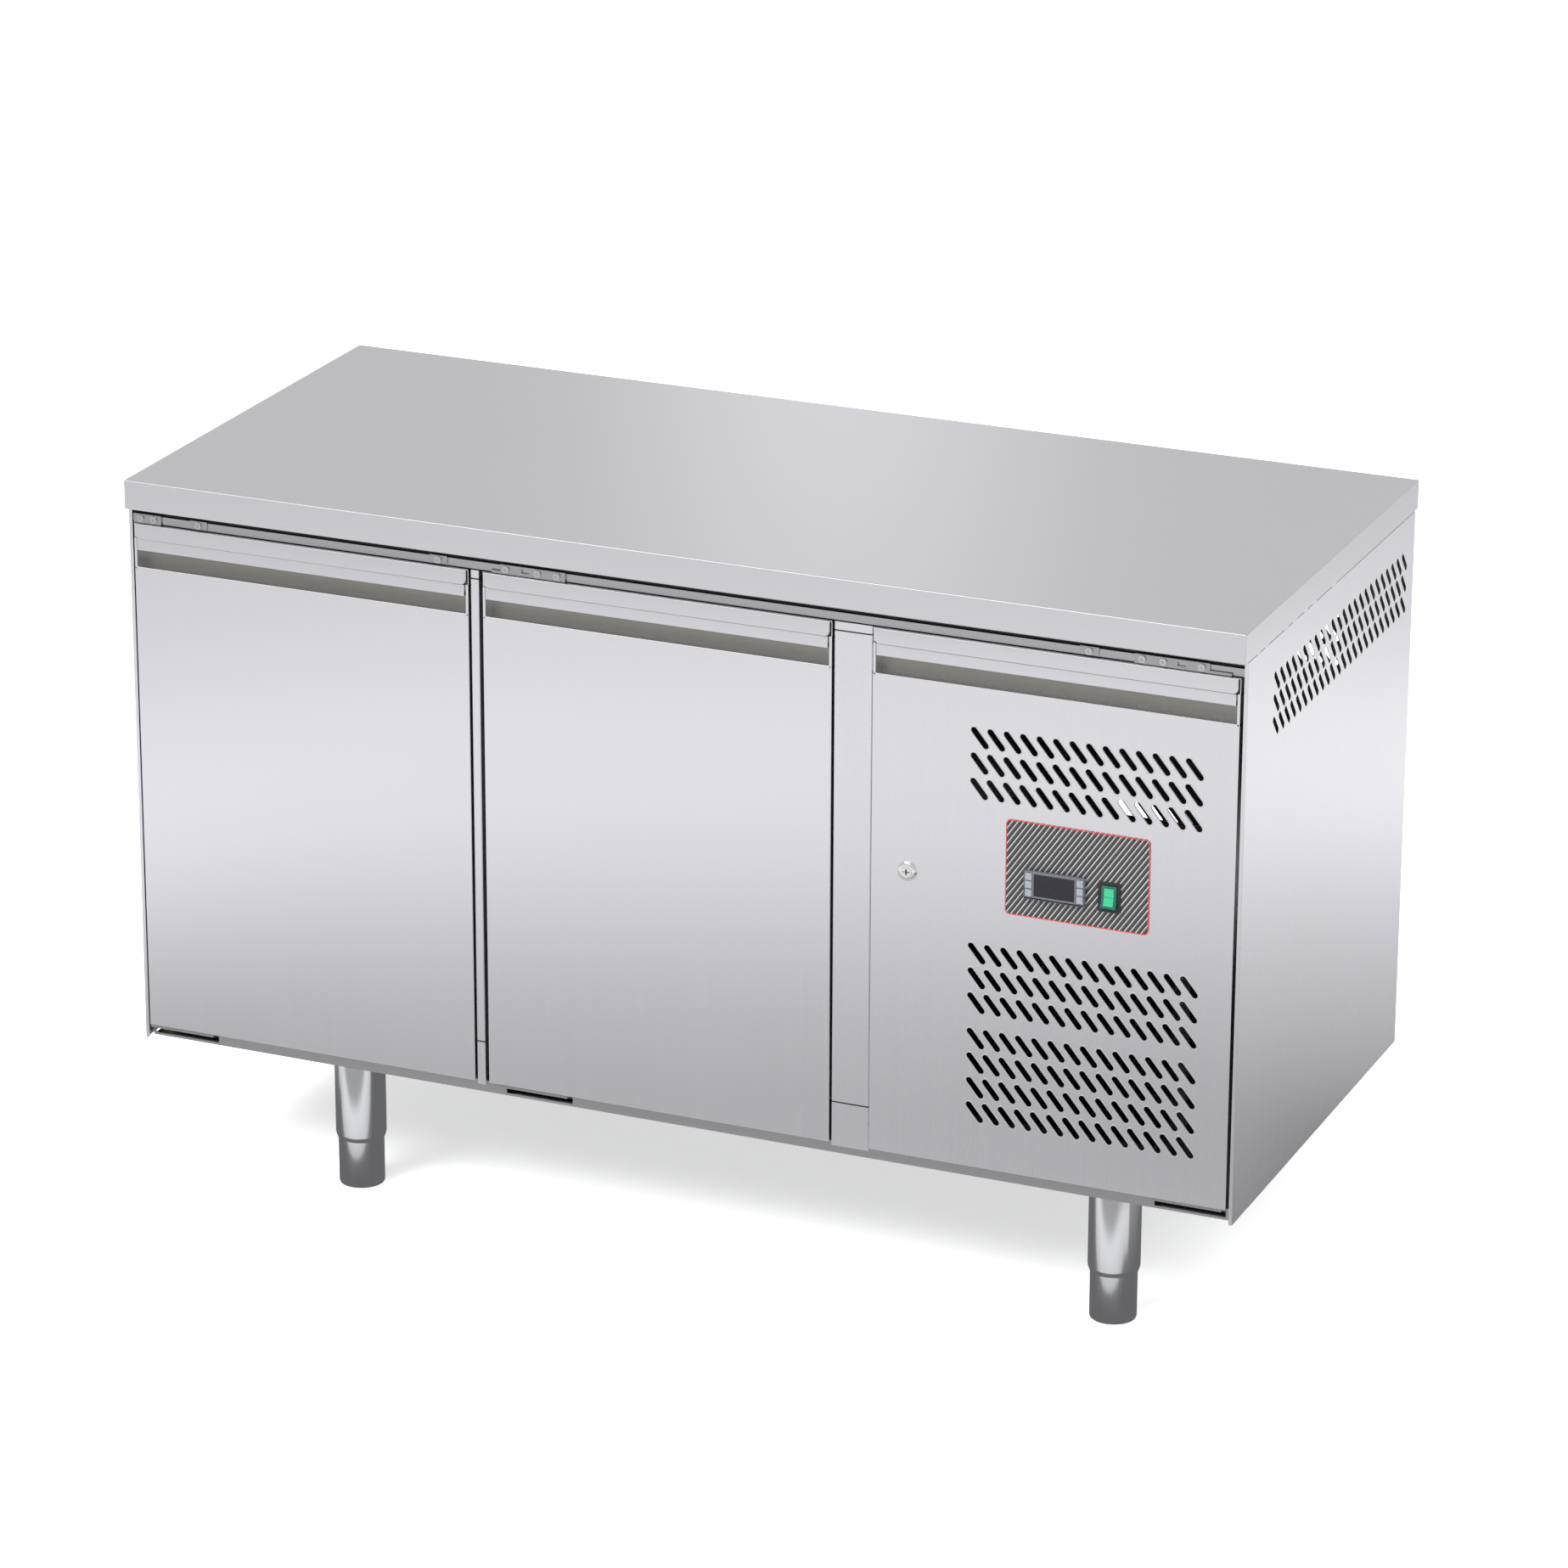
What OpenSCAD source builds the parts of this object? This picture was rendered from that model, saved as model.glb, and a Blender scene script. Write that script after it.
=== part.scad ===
// Two-door refrigerated worktop counter with a side machine compartment.
// Millimetres. +X to the right seen from the front, -Y to the front, +Z up.
// Origin on the floor, under the centre of the worktop.

/* [Counter] */
// Width over the worktop
width = 1360; // [1340:10:1440]
// Depth over the worktop
depth = 600; // [600:5:640]
// Height of the work surface above the floor
height = 850; // [840:5:900]
// Clear height under the body
leg_height = 156; // [150:1:165]
// Thickness of the worktop
top_thickness = 35; // [32:1:45]

/* [Doors] */
// Thickness of an insulated door
door_thickness = 42; // [40:1:45]
// Gap beside the hinged edge of a door
door_gap = 2.5; // [2.3:0.1:4]
// Gap beside the free edge of a door
free_gap = 1.8; // [1.7:0.1:2.5]
// Distance between the two doors
door_spacing = 18; // [16:1:24]
// Distance between the right door and the machine panel
stile_space = 49; // [40:1:55]
// Width of the machine compartment's panel
panel_width = 426.5; // [400:0.5:430]
// Diameter of the hinge pins
pin_diameter = 8; // [6:0.5:9]

/* [Vents] */
// Columns of slots in the machine panel
panel_columns = 14; // [6:1:14]
// Columns of slots in the right side panel
side_columns = 24; // [8:1:24]
// Width of one vent slot
slot_width = 7; // [5:0.5:7.5]

/* [Legs] */
// Diameter of the leg's upper tube
leg_diameter = 60; // [56:1:64]
// Diameter of the levelling foot
foot_diameter = 54; // [46:1:54]

/* [Hidden] */
$fn = 48;
steel = "#c9cbce";
steel_dark = "#8d9095";
foam_yellow = "#e6d9a4";
rubber_grey = "#55575a";
black = "#222426";
sheet = 1;
top_sheet = 1.5;
overlap = 0.5;

// Outer planes of the counter
right = width / 2;
left = -right;
front = -depth / 2;
back = depth / 2;
body_back = back - 10;
body_bottom = leg_height;
top_bottom = height - top_thickness;
cabinet_top = height - 32;
wall_top = top_bottom - 0.5;

// Door planes: the face, the back and the plane that the gaskets seal on
face = front + 8;
door_back = face + door_thickness;
gasket_depth = 10.7;
gasket_inset = 11;
gasket_width = 19;
seal = door_back + 12;
foam_front = seal + sheet;
side_flange = 4.5;
side_front = face + 2;
door_bottom = body_bottom + 18;
door_top = top_bottom - 18;
door_height = door_top - door_bottom;

// Where doors, posts and the machine panel start and end across the front
panel_right = right - side_flange - 3;
panel_left = panel_right - panel_width;
stile_right = panel_left - 1.2;
partition_wall = 45;
machine_left = panel_left - 3;
door_2_right = panel_left - stile_space;
stile_left = door_2_right + free_gap;
door_1_left = left + side_flange + door_gap;
door_width = (door_2_right - door_1_left - door_spacing) / 2;
door_1_right = door_1_left + door_width;
door_2_left = door_1_right + door_spacing;
mullion_left = door_1_right + free_gap;
mullion_right = door_2_left - 5.4;
mullion_middle = (door_1_right + door_2_left) / 2;
post_face = face + 2;

// Cold room
room_left = left + 45;
room_right = machine_left - partition_wall;
room_back = body_back - 50;
room_floor = body_bottom + 50;
room_ceiling = cabinet_top - 51;
post_width = 80;
post_depth = 40;
post_left = mullion_middle - post_width / 2;
post_right = mullion_middle + post_width / 2;
jamb_left = machine_left - 78;

// Hinges: the pin's axis is set in from the door's edge and behind its face
pin_inset = 20;
pin_setback = 9;
pin_y = face + pin_setback;
pin_r = pin_diameter / 2;
bush_r = 7.5;
bush_length = 16;
running = 0.05;
bracket_sheet = 3;
bracket_plate = 2.5;
clip_plate = 1.5;
rail_face = face + 4;
rail_bottom = door_top + 1;
rail_top = door_top + 10;
bottom_rail_face = face + 14;
bottom_rail_top = door_bottom - 4;

// Handle section, measured down from the top of the door
cap_height = 18;
cap_forward = 2.5;
cap_setback = 2;
cap_corner = 6;
cap_sheet = 1.2;
lip_height = 14.5;
lip_forward = 1;
lip_setback = 4.5;
recess_height = 20;
recess_depth = 18;
recess_top = door_top - cap_height - lip_height;
recess_bottom = recess_top - recess_height;
cheek = 3.5;

// Machine panel, its slots and the control plate
panel_depth = 22;
slot_rise = 17;
slot_run = 14;
column_pitch = 19.2;
row_pitch = 29.7;
vents_left = 117;
plate_left = panel_left + 160;
plate_top = door_top - 200;
plate_w = 169;
plate_h = 112;
case_left = plate_left + 23.5;
case_top = plate_top - 55.5;
case_w = 71.5;
case_h = 33;
key_w = 8;
key_h = 8.4;
key_pitch = 9.6;
key_inset = 1.6;
switch_left = plate_left + 109.5;
switch_top = plate_top - 56;
switch_w = 26.5;
switch_h = 35;
lock_x = panel_left + 43.5;
lock_z = door_top - 280;

// Legs
leg_x = [left + 262, right - 152];
leg_y = [front + 51, back - 51];
tube_bottom = 60;
insert_length = 110;

// Fans
evaporator_fan_z = room_ceiling - 126;
evaporator_fan_y = room_back - 66;
condenser_fan_x = machine_left + 190;
condenser_fan_z = body_bottom + 169;
condenser_fan_y = seal + 108;
condenser_front = seal + 28;

// ---------- shared shapes ----------

// A box given by its low and its high corner
module block(low, high) {
    translate(low)
        cube(high - low);
}

// A round bar along Y between two planes
module bar_y(x, y_0, y_1, z, r) {
    translate([x, y_0, z])
        rotate([-90, 0, 0])
            cylinder(h = y_1 - y_0, r = r);
}

// A round bar along X between two planes
module bar_x(x_0, x_1, y, z, r) {
    translate([x_0, y, z])
        rotate([0, 90, 0])
            cylinder(h = x_1 - x_0, r = r);
}

// An upright round bar between two heights
module bar_z(x, y, z_0, z_1, r) {
    translate([x, y, z_0])
        cylinder(h = z_1 - z_0, r = r);
}

// One slanted vent slot; its box starts at the origin and goes right and down
module slot_2d() {
    r = slot_width / 2;
    length = sqrt(slot_run * slot_run + slot_rise * slot_rise);
    translate([r, -r]) {
        circle(r = r, $fn = 24);
        translate([slot_run, -slot_rise])
            circle(r = r, $fn = 24);
        rotate(-atan2(slot_rise, slot_run))
            translate([0, -r])
                square([length, 2 * r]);
    }
}

// A field of vent slots, from its top left corner
module slot_field(columns, rows, pitch_across, pitch_down) {
    for (column = [0 : columns - 1])
        for (row = [0 : rows - 1])
            translate([column * pitch_across, -row * pitch_down])
                slot_2d();
}

// A 2D outline stood up facing the front, its face on plane y
module front_sheet(y, thickness) {
    translate([0, y + thickness, 0])
        rotate([90, 0, 0])
            linear_extrude(thickness)
                children();
}

// A 2D outline stood up facing the right, from plane x
module side_sheet(x, thickness) {
    translate([x, 0, 0])
        rotate([90, 0, 90])
            linear_extrude(thickness)
                children();
}

// ---------- worktop ----------

module worktop_skin() {
    hem = 8;
    color(steel)
        difference() {
            block([left, front, top_bottom], [right, back, height]);
            block([left + top_sheet, front + top_sheet, top_bottom + top_sheet],
                [right - top_sheet, back - top_sheet, height - top_sheet]);
            block([left + hem, front + hem, top_bottom - overlap],
                [right - hem, back - hem, top_bottom + top_sheet + overlap]);
        }
}

module worktop_core() {
    color("burlywood")
        block([left + top_sheet, front + top_sheet, cabinet_top],
            [right - top_sheet, back - top_sheet, height - top_sheet]);
}

// ---------- outer sheets of the cabinet ----------

// One side panel, drawn at the right; its front, bottom and back edges are folded in
module side_panel(vented) {
    fold = 20;
    side_sheet(right - sheet, sheet)
        difference() {
            translate([side_front, body_bottom])
                square([body_back - side_front, wall_top - body_bottom]);
            if (vented)
                translate([face + 90, height - 74])
                    slot_field(side_columns, 3, 19.4, 26);
        }
    block([right - side_flange, side_front, body_bottom],
        [right - sheet, side_front + sheet, wall_top]);
    block([right - fold, seal, body_bottom], [right - sheet, body_back, body_bottom + sheet]);
}

module left_side_panel() {
    color(steel)
        mirror([1, 0, 0])
            side_panel(false);
}

module right_side_panel() {
    color(steel)
        side_panel(true);
}

module back_panel() {
    color(steel)
        block([left + sheet, body_back - sheet, body_bottom + sheet + overlap],
            [machine_left, body_back, wall_top]);
}

module rear_grille() {
    gland_r = 9;
    color(steel)
        difference() {
            front_sheet(body_back - sheet, sheet)
                difference() {
                    translate([machine_left, body_bottom + sheet + overlap])
                        square([right - sheet - machine_left,
                            wall_top - body_bottom - sheet - overlap]);
                    translate([machine_left + 80, cabinet_top - 90])
                        slot_field(14, 4, column_pitch, row_pitch);
                    translate([machine_left + 80, body_bottom + 254])
                        slot_field(14, 6, column_pitch, row_pitch);
                }
            bar_y(right - 60, body_back - 5, body_back + 5, body_bottom + 54, gland_r);
        }
}

module cable_gland() {
    x = right - 60;
    z = body_bottom + 54;
    color(black)
        difference() {
            union() {
                bar_y(x, body_back - 12, body_back - sheet, z, 13);
                bar_y(x, body_back - sheet - overlap, body_back + overlap, z, 8.95);
                bar_y(x, body_back, body_back + 8, z, 12);
            }
            bar_y(x, body_back - 20, body_back + 20, z, 4);
        }
}

module base_panel() {
    color(steel_dark)
        block([left + 21, seal, body_bottom], [right - 21, body_back - sheet - overlap,
            body_bottom + sheet]);
}

// ---------- insulation and liner ----------

module cabinet_foam() {
    color(foam_yellow)
        difference() {
            block([left + sheet, foam_front, body_bottom + sheet],
                [machine_left, body_back - sheet, cabinet_top]);
            block([left, foam_front - overlap, wall_top], [left + 9, back, cabinet_top + overlap]);
            difference() {
                block([room_left, foam_front - overlap, room_floor],
                    [room_right, room_back, room_ceiling]);
                block([post_left + sheet, foam_front - overlap, room_floor - overlap],
                    [post_right - sheet, seal + post_depth - sheet, room_ceiling + overlap]);
                block([jamb_left + sheet, foam_front - overlap, room_floor - overlap],
                    [room_right + overlap, seal + post_depth - sheet, room_ceiling + overlap]);
            }
        }
}

module inner_liner() {
    color(steel)
        difference() {
            union() {
                difference() {
                    block([room_left, seal, room_floor], [room_right, room_back, room_ceiling]);
                    block([room_left + sheet, seal - overlap, room_floor + sheet],
                        [room_right - sheet, room_back - sheet, room_ceiling - sheet]);
                }
                block([left + side_flange, seal, bottom_rail_top + 1],
                    [machine_left, foam_front, cabinet_top - 18]);
                block([post_left, seal, room_floor], [post_right, seal + post_depth, room_ceiling]);
                block([jamb_left, seal, room_floor], [room_right, seal + post_depth, room_ceiling]);
            }
            block([post_left + sheet, foam_front, room_floor - overlap],
                [post_right - sheet, seal + post_depth - sheet, room_ceiling + overlap]);
            block([jamb_left + sheet, foam_front, room_floor - overlap],
                [room_right + overlap, seal + post_depth - sheet, room_ceiling + overlap]);
            block([room_left + sheet, seal - overlap, room_floor + sheet],
                [post_left, seal + post_depth, room_ceiling - sheet]);
            block([post_right, seal - overlap, room_floor + sheet],
                [jamb_left, seal + post_depth, room_ceiling - sheet]);
        }
}

// ---------- front frame ----------

// Each upper hinge bracket: where it starts, its width and its screws from that end
top_brackets = [
    [door_1_left, 35, [9, 26]],
    [door_2_left + 22, 80, [7, 46, 70]],
    [panel_right - 122, 86, [9, 33, 77]]
];
// The pin's place for each hinged leaf, and how far the plate that holds it reaches
pin_x = [door_1_left + pin_inset, door_2_left + pin_inset, panel_right - pin_inset];
reach_left = [for (k = [0 : 2]) min(top_brackets[k][0], pin_x[k] - 9)];
reach_right = [for (k = [0 : 2]) max(top_brackets[k][0] + top_brackets[k][1], pin_x[k] + 9)];
// Oblong adjusting holes, by their centres
adjusting_slots = [door_2_left + 22 + 31, panel_right - 122 + 54];
clip_centres = [left + 90, left + 395, right - 182];
top_bracket_z = door_top + 6.4;
bracket_top = door_top + 11.5;
top_screw_x = concat(
    [for (bracket = top_brackets) for (d = bracket[2]) bracket[0] + d],
    clip_centres
);
shank_r = 2;
shank_length = 8;

// A joggled rail: a low face behind the brackets, a ledge, and a riser under the worktop
module top_rail() {
    gauge = 1.2;
    rail_left = left + side_flange;
    rail_right = right - side_flange;
    ledge_back = rail_face + 12;
    color(steel)
        difference() {
            union() {
                block([rail_left, rail_face, rail_bottom], [rail_right, rail_face + gauge, rail_top]);
                block([rail_left, rail_face, rail_bottom], [rail_right, rail_face + 18,
                    rail_bottom + gauge]);
                block([rail_left, rail_face, rail_top - gauge], [rail_right, ledge_back, rail_top]);
                block([rail_left, ledge_back - gauge, rail_top - gauge], [rail_right, ledge_back,
                    cabinet_top]);
                block([rail_left, ledge_back - gauge, cabinet_top - gauge], [rail_right, seal,
                    cabinet_top]);
            }
            for (x = [left, right - 9])
                block([x, rail_face - 1, wall_top], [x + 9, seal + 1, cabinet_top + 1]);
            for (k = [0 : 2])
                block([reach_left[k] - 0.5, rail_face - 1, rail_bottom - 1],
                    [reach_right[k] + 0.5, rail_face + 19, door_top + 4]);
            for (x = top_screw_x)
                bar_y(x, rail_face - 5, rail_face + 5, top_bracket_z, shank_r + running);
        }
}

// Each cut-out clears one lower hinge bracket
cut_starts = [door_1_left, door_2_left + 16, panel_right - 88];
cut_width = 84;

module bottom_rail() {
    gauge = 1.2;
    color(steel)
        difference() {
            block([left + side_flange, bottom_rail_face, body_bottom],
                [right - side_flange, seal, bottom_rail_top]);
            block([left, bottom_rail_face + gauge, body_bottom + gauge],
                [right, seal + 1, bottom_rail_top - gauge]);
            for (x = cut_starts)
                block([x, bottom_rail_face - 1, body_bottom + 3],
                    [x + cut_width, bottom_rail_face + 16, bottom_rail_top + 1]);
        }
}

// A folded post: a front web with two sides, and a joint near each end
module folded_post(x_0, x_1) {
    gauge = 1.2;
    joint = 1.5;
    low_joint = door_bottom + 49;
    high_joint = door_top - 11;
    difference() {
        block([x_0, post_face, bottom_rail_top], [x_1, seal, door_top]);
        block([x_0 + gauge, post_face + gauge, bottom_rail_top - 1], [x_1 - gauge, seal + 1,
            door_top + 1]);
        for (z = [low_joint, high_joint])
            block([x_0 - 1, post_face - 1, z], [x_1 + 1, post_face + 0.8, z + joint]);
    }
}

module door_mullion() {
    color(steel)
        folded_post(mullion_left, mullion_right);
}

module machine_stile() {
    color(steel)
        difference() {
            folded_post(stile_left, stile_right);
            block([stile_right - 5, face + 24, lock_z - 12], [stile_right + 1, face + 42,
                lock_z + 32]);
        }
}

module front_brackets() {
    leg_low = door_top + 0.5;
    leg_high = leg_low + bracket_sheet;
    foot_high = door_bottom - 0.5;
    color(steel_dark)
        difference() {
            union() {
                for (bracket = top_brackets)
                    block([bracket[0], rail_face - bracket_plate, leg_low],
                        [bracket[0] + bracket[1], rail_face, bracket_top]);
                for (k = [0 : 2])
                    block([reach_left[k], rail_face - bracket_plate, leg_low],
                        [reach_right[k], pin_y + 9, leg_high]);
                for (x = clip_centres)
                    block([x - 11, rail_face - clip_plate, leg_low + 2], [x + 11, rail_face,
                        bracket_top]);
                for (k = [0 : 2]) {
                    block([min(cut_starts[k] + 1, pin_x[k] - 9), pin_y - 8,
                            foot_high - bracket_sheet],
                        [max(cut_starts[k] + cut_width - 1, pin_x[k] + 9),
                            bottom_rail_face + 15, foot_high]);
                    block([cut_starts[k] + 1, bottom_rail_face + 12, body_bottom + 4],
                        [cut_starts[k] + cut_width - 1, bottom_rail_face + 15, foot_high]);
                }
            }
            for (x = top_screw_x)
                bar_y(x, rail_face - 5, rail_face + 5, top_bracket_z, shank_r + running);
            for (k = [0 : 2])
                for (z = [leg_low - 1, foot_high - bracket_sheet - 1])
                    bar_z(pin_x[k], pin_y, z, z + bracket_sheet + 2, pin_r);
            for (x = adjusting_slots)
                block([x - 5, rail_face - 5, top_bracket_z - 2.5], [x + 5, rail_face + 1,
                    top_bracket_z + 2.5]);
        }
}

module hinge_pins() {
    reach = 13;
    color("silver")
        for (x = pin_x) {
            bar_z(x, pin_y, door_top - reach, door_top + 0.5 + bracket_sheet, pin_r);
            bar_z(x, pin_y, door_bottom - 0.5 - bracket_sheet, door_bottom + reach, pin_r);
        }
}

// A pan-head screw with a cross recess, its head's underside on plane y
module pan_screw(x, y, z) {
    head_r = 4;
    head_h = 2.2;
    difference() {
        union() {
            bar_y(x, y - head_h, y, z, head_r);
            bar_y(x, y - overlap, y + shank_length, z, shank_r);
        }
        block([x - 2.4, y - head_h - 1, z - 0.5], [x + 2.4, y - head_h + 1.2, z + 0.5]);
        block([x - 0.5, y - head_h - 1, z - 2.4], [x + 0.5, y - head_h + 1.2, z + 2.4]);
    }
}

module front_screws() {
    color("silver")
        for (k = [0 : len(top_screw_x) - 1])
            pan_screw(top_screw_x[k], rail_face - (k < len(top_screw_x) - 3 ? bracket_plate
                : clip_plate), top_bracket_z);
}

// ---------- legs ----------

module leg_tube(x, y) {
    taper = 5;
    wall_r = leg_diameter / 2;
    bore_r = foot_diameter / 2 + running;
    translate([x, y, 0])
        difference() {
            union() {
                translate([0, 0, tube_bottom])
                    cylinder(h = taper, r1 = wall_r - 1.6, r2 = wall_r);
                translate([0, 0, tube_bottom + taper])
                    cylinder(h = body_bottom - tube_bottom - taper, r = wall_r);
            }
            translate([0, 0, tube_bottom - 1])
                cylinder(h = body_bottom - tube_bottom - 3, r = bore_r);
        }
}

module leg_tubes() {
    color(steel)
        for (x = leg_x)
            for (y = leg_y)
                leg_tube(x, y);
}

// A levelling foot: a cup with a thick closed end and a rounded lower edge
module leg_insert(k) {
    r = foot_diameter / 2;
    wall = 3;
    floor_thickness = 12;
    edge = 4;
    color(steel)
        translate([leg_x[k % 2], leg_y[floor(k / 2)], 0])
            rotate_extrude()
                difference() {
                    union() {
                        translate([0, edge])
                            square([r, insert_length - edge]);
                        square([r - edge, edge + overlap]);
                        intersection() {
                            translate([r - edge, edge])
                                circle(r = edge);
                            translate([r - edge - overlap, 0])
                                square([edge + overlap, edge + overlap]);
                        }
                    }
                    translate([0, floor_thickness])
                        square([r - wall, insert_length]);
                }
}

// ---------- shelves ----------

runner_z = room_floor + 280;
cover_left = mullion_middle - 67;
cover_right = mullion_middle + 67;
cover_front = room_back - 90;
shelf_r = 3;
shelf_z = runner_z + 1.5 + shelf_r;
shelf_front = seal + 43;
shelf_back = room_back - 6;
left_shelf = [room_left + 7, cover_left - 5];
right_shelf = [cover_right + 5, room_right - 13];

module shelf_runners() {
    plate = 1.5;
    drop = 24;
    rail_end = cover_front;
    color(steel)
        union() {
            block([room_left + 1, shelf_front, runner_z], [room_left + 19, shelf_back,
                runner_z + plate]);
            block([room_left + 1, shelf_front, runner_z - drop], [room_left + 1 + plate, shelf_back,
                runner_z + plate]);
            block([cover_left - 13, seal + post_depth, runner_z], [post_left + 2, rail_end,
                runner_z + plate]);
            block([post_left + 2 - plate, seal + post_depth, runner_z - drop], [post_left + 2,
                rail_end, runner_z + plate]);
            block([post_right - 2, seal + post_depth, runner_z], [cover_right + 13, rail_end,
                runner_z + plate]);
            block([post_right - 2, seal + post_depth, runner_z - drop], [post_right - 2 + plate,
                rail_end, runner_z + plate]);
            block([room_right - 19, shelf_front, runner_z], [room_right - 1, shelf_back,
                runner_z + plate]);
            block([room_right - 1 - plate, shelf_front, runner_z - drop], [room_right - 1,
                shelf_back, runner_z + plate]);
        }
}

// A wire shelf: a rod frame, wires front to back and one cross rod
module wire_shelf(x_0, x_1) {
    wire_r = 1.6;
    wires = 12;
    step = (x_1 - x_0 - 2 * shelf_r) / (wires + 1);
    y_0 = shelf_front + shelf_r;
    y_1 = shelf_back - shelf_r;
    for (x = [x_0 + shelf_r, x_1 - shelf_r])
        bar_y(x, y_0 - shelf_r, y_1 + shelf_r, shelf_z, shelf_r);
    for (y = [y_0, (y_0 + y_1) / 2, y_1])
        bar_x(x_0 + shelf_r, x_1 - shelf_r, y, shelf_z, shelf_r - 0.2);
    for (k = [1 : wires])
        bar_y(x_0 + shelf_r + k * step, y_0, y_1, shelf_z, wire_r);
}

module wire_shelves() {
    color("gainsboro") {
        wire_shelf(left_shelf[0], left_shelf[1]);
        wire_shelf(right_shelf[0], right_shelf[1]);
    }
}

// ---------- cold circuit ----------

module evaporator_cover() {
    low = room_floor + 54;
    high = room_ceiling - 27;
    color(steel)
        difference() {
            block([cover_left, cover_front, low], [cover_right, room_back - sheet, high]);
            block([cover_left + sheet, cover_front + sheet, low + sheet],
                [cover_right - sheet, room_back, high - sheet]);
            bar_y(mullion_middle, cover_front - 1, cover_front + 2, evaporator_fan_z, 52);
            for (k = [0 : 5])
                block([cover_left + 17, cover_front - 1, low + 20 + k * 14],
                    [cover_right - 17, cover_front + 2, low + 26 + k * 14]);
        }
}

// A finned block: plates across, tubes along X
module finned_block(x_0, x_1, y_0, y_1, z_0, z_1, fins, tubes, tube_r) {
    pitch = (x_1 - x_0 - 1) / (fins - 1);
    rise = (z_1 - z_0) / tubes;
    for (k = [0 : fins - 1])
        block([x_0 + k * pitch, y_0, z_0], [x_0 + k * pitch + 1, y_1, z_1]);
    for (k = [0 : tubes - 1])
        bar_x(x_0 - 4, x_1 + 4, (y_0 + y_1) / 2, z_0 + (k + 0.5) * rise, tube_r);
}

module evaporator_coil() {
    color("lightsteelblue")
        finned_block(cover_left + 17, cover_right - 17, room_back - 60, room_back - 6,
            room_floor + 154, evaporator_fan_z - 70, 14, 8, 4.5);
}

// An axial fan: a bored hub and pitched blades, facing -Y
module fan(hub_r, tip_r, blades, width, hub_depth) {
    blade_gauge = 2;
    rotate([90, 0, 0])
        difference() {
            union() {
                translate([0, 0, -hub_depth / 2])
                    cylinder(h = hub_depth, r = hub_r);
                intersection() {
                    for (k = [0 : blades - 1])
                        rotate(k * 360 / blades)
                            translate([hub_r - 2, 0, 0])
                                rotate([32, 0, 0])
                                    translate([0, -width / 2, -blade_gauge / 2])
                                        cube([tip_r, width, blade_gauge]);
                    translate([0, 0, -hub_depth * 2])
                        cylinder(h = hub_depth * 4, r = tip_r);
                }
            }
            translate([0, 0, -hub_depth])
                cylinder(h = hub_depth * 2, r = 3 + running);
        }
}

module evaporator_fan() {
    color(black)
        translate([mullion_middle, evaporator_fan_y, evaporator_fan_z])
            fan(15, 45, 5, 24, 14);
}

module condenser_fan() {
    color(black)
        translate([condenser_fan_x, condenser_fan_y, condenser_fan_z])
            fan(24, 100, 5, 60, 20);
}

// A fan motor with its shaft towards -Y and a bracket behind it
module fan_motor(x, y, z, r, length, shaft_reach) {
    bar_y(x, y - shaft_reach, y + 1, z, 3);
    bar_y(x, y, y + length, z, r);
}

module fan_motors() {
    ring_y = condenser_front + 52;
    motor_y = condenser_fan_y + 20;
    color(steel_dark) {
        fan_motor(mullion_middle, evaporator_fan_y + 12, evaporator_fan_z, 20, 53, 16);
        fan_motor(condenser_fan_x, motor_y, condenser_fan_z, 36, 60, 26);
        block([condenser_fan_x - 30, motor_y + 60, body_bottom + sheet],
            [condenser_fan_x + 30, motor_y + 63, condenser_fan_z + 36]);
        difference() {
            block([condenser_fan_x - 135, ring_y, condenser_fan_z - 130],
                [condenser_fan_x + 135, ring_y + 30, condenser_fan_z + 130]);
            block([condenser_fan_x - 134, ring_y - 1, condenser_fan_z - 129],
                [condenser_fan_x + 134, ring_y + 29, condenser_fan_z + 129]);
            bar_y(condenser_fan_x, ring_y, ring_y + 40, condenser_fan_z, 106);
        }
    }
}

module condenser_coil() {
    color("#3a3c3f")
        union() {
            finned_block(condenser_fan_x - 125, condenser_fan_x + 125, condenser_front,
                condenser_front + 50, condenser_fan_z - 125, condenser_fan_z + 125, 32, 9, 4.8);
            for (z = [condenser_fan_z - 126, condenser_fan_z + 125])
                block([condenser_fan_x - 125, condenser_front, z],
                    [condenser_fan_x + 125, condenser_front + 50, z + 1]);
        }
}

compressor_x = machine_left + 250;
compressor_y = back - 150;

module compressor() {
    shell_r = 82;
    low = body_bottom + 20;
    color("#2a2c2e") {
        translate([compressor_x, compressor_y, low]) {
            cylinder(h = 150, r = shell_r);
            translate([0, 0, 150])
                cylinder(h = 26, r1 = shell_r, r2 = 46);
            translate([-shell_r - 22, -30, 60])
                cube([26, 60, 60]);
        }
        difference() {
            block([compressor_x - 105, compressor_y - 75, low - 5], [compressor_x + 105,
                compressor_y + 75, low]);
            for (x = [-90, 90])
                for (y = [-60, 60])
                    bar_z(compressor_x + x, compressor_y + y, low - 6, low + 1, 5);
        }
        for (x = [-90, 90])
            for (y = [-60, 60])
                bar_z(compressor_x + x, compressor_y + y, body_bottom + sheet, low - 5, 12);
    }
}

// A brazed elbow about the origin, from +X towards +Y, starting at (bend, 0)
module pipe_bend(bend, r) {
    rotate_extrude(angle = 90)
        translate([bend, 0])
            circle(r = r);
}

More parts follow.
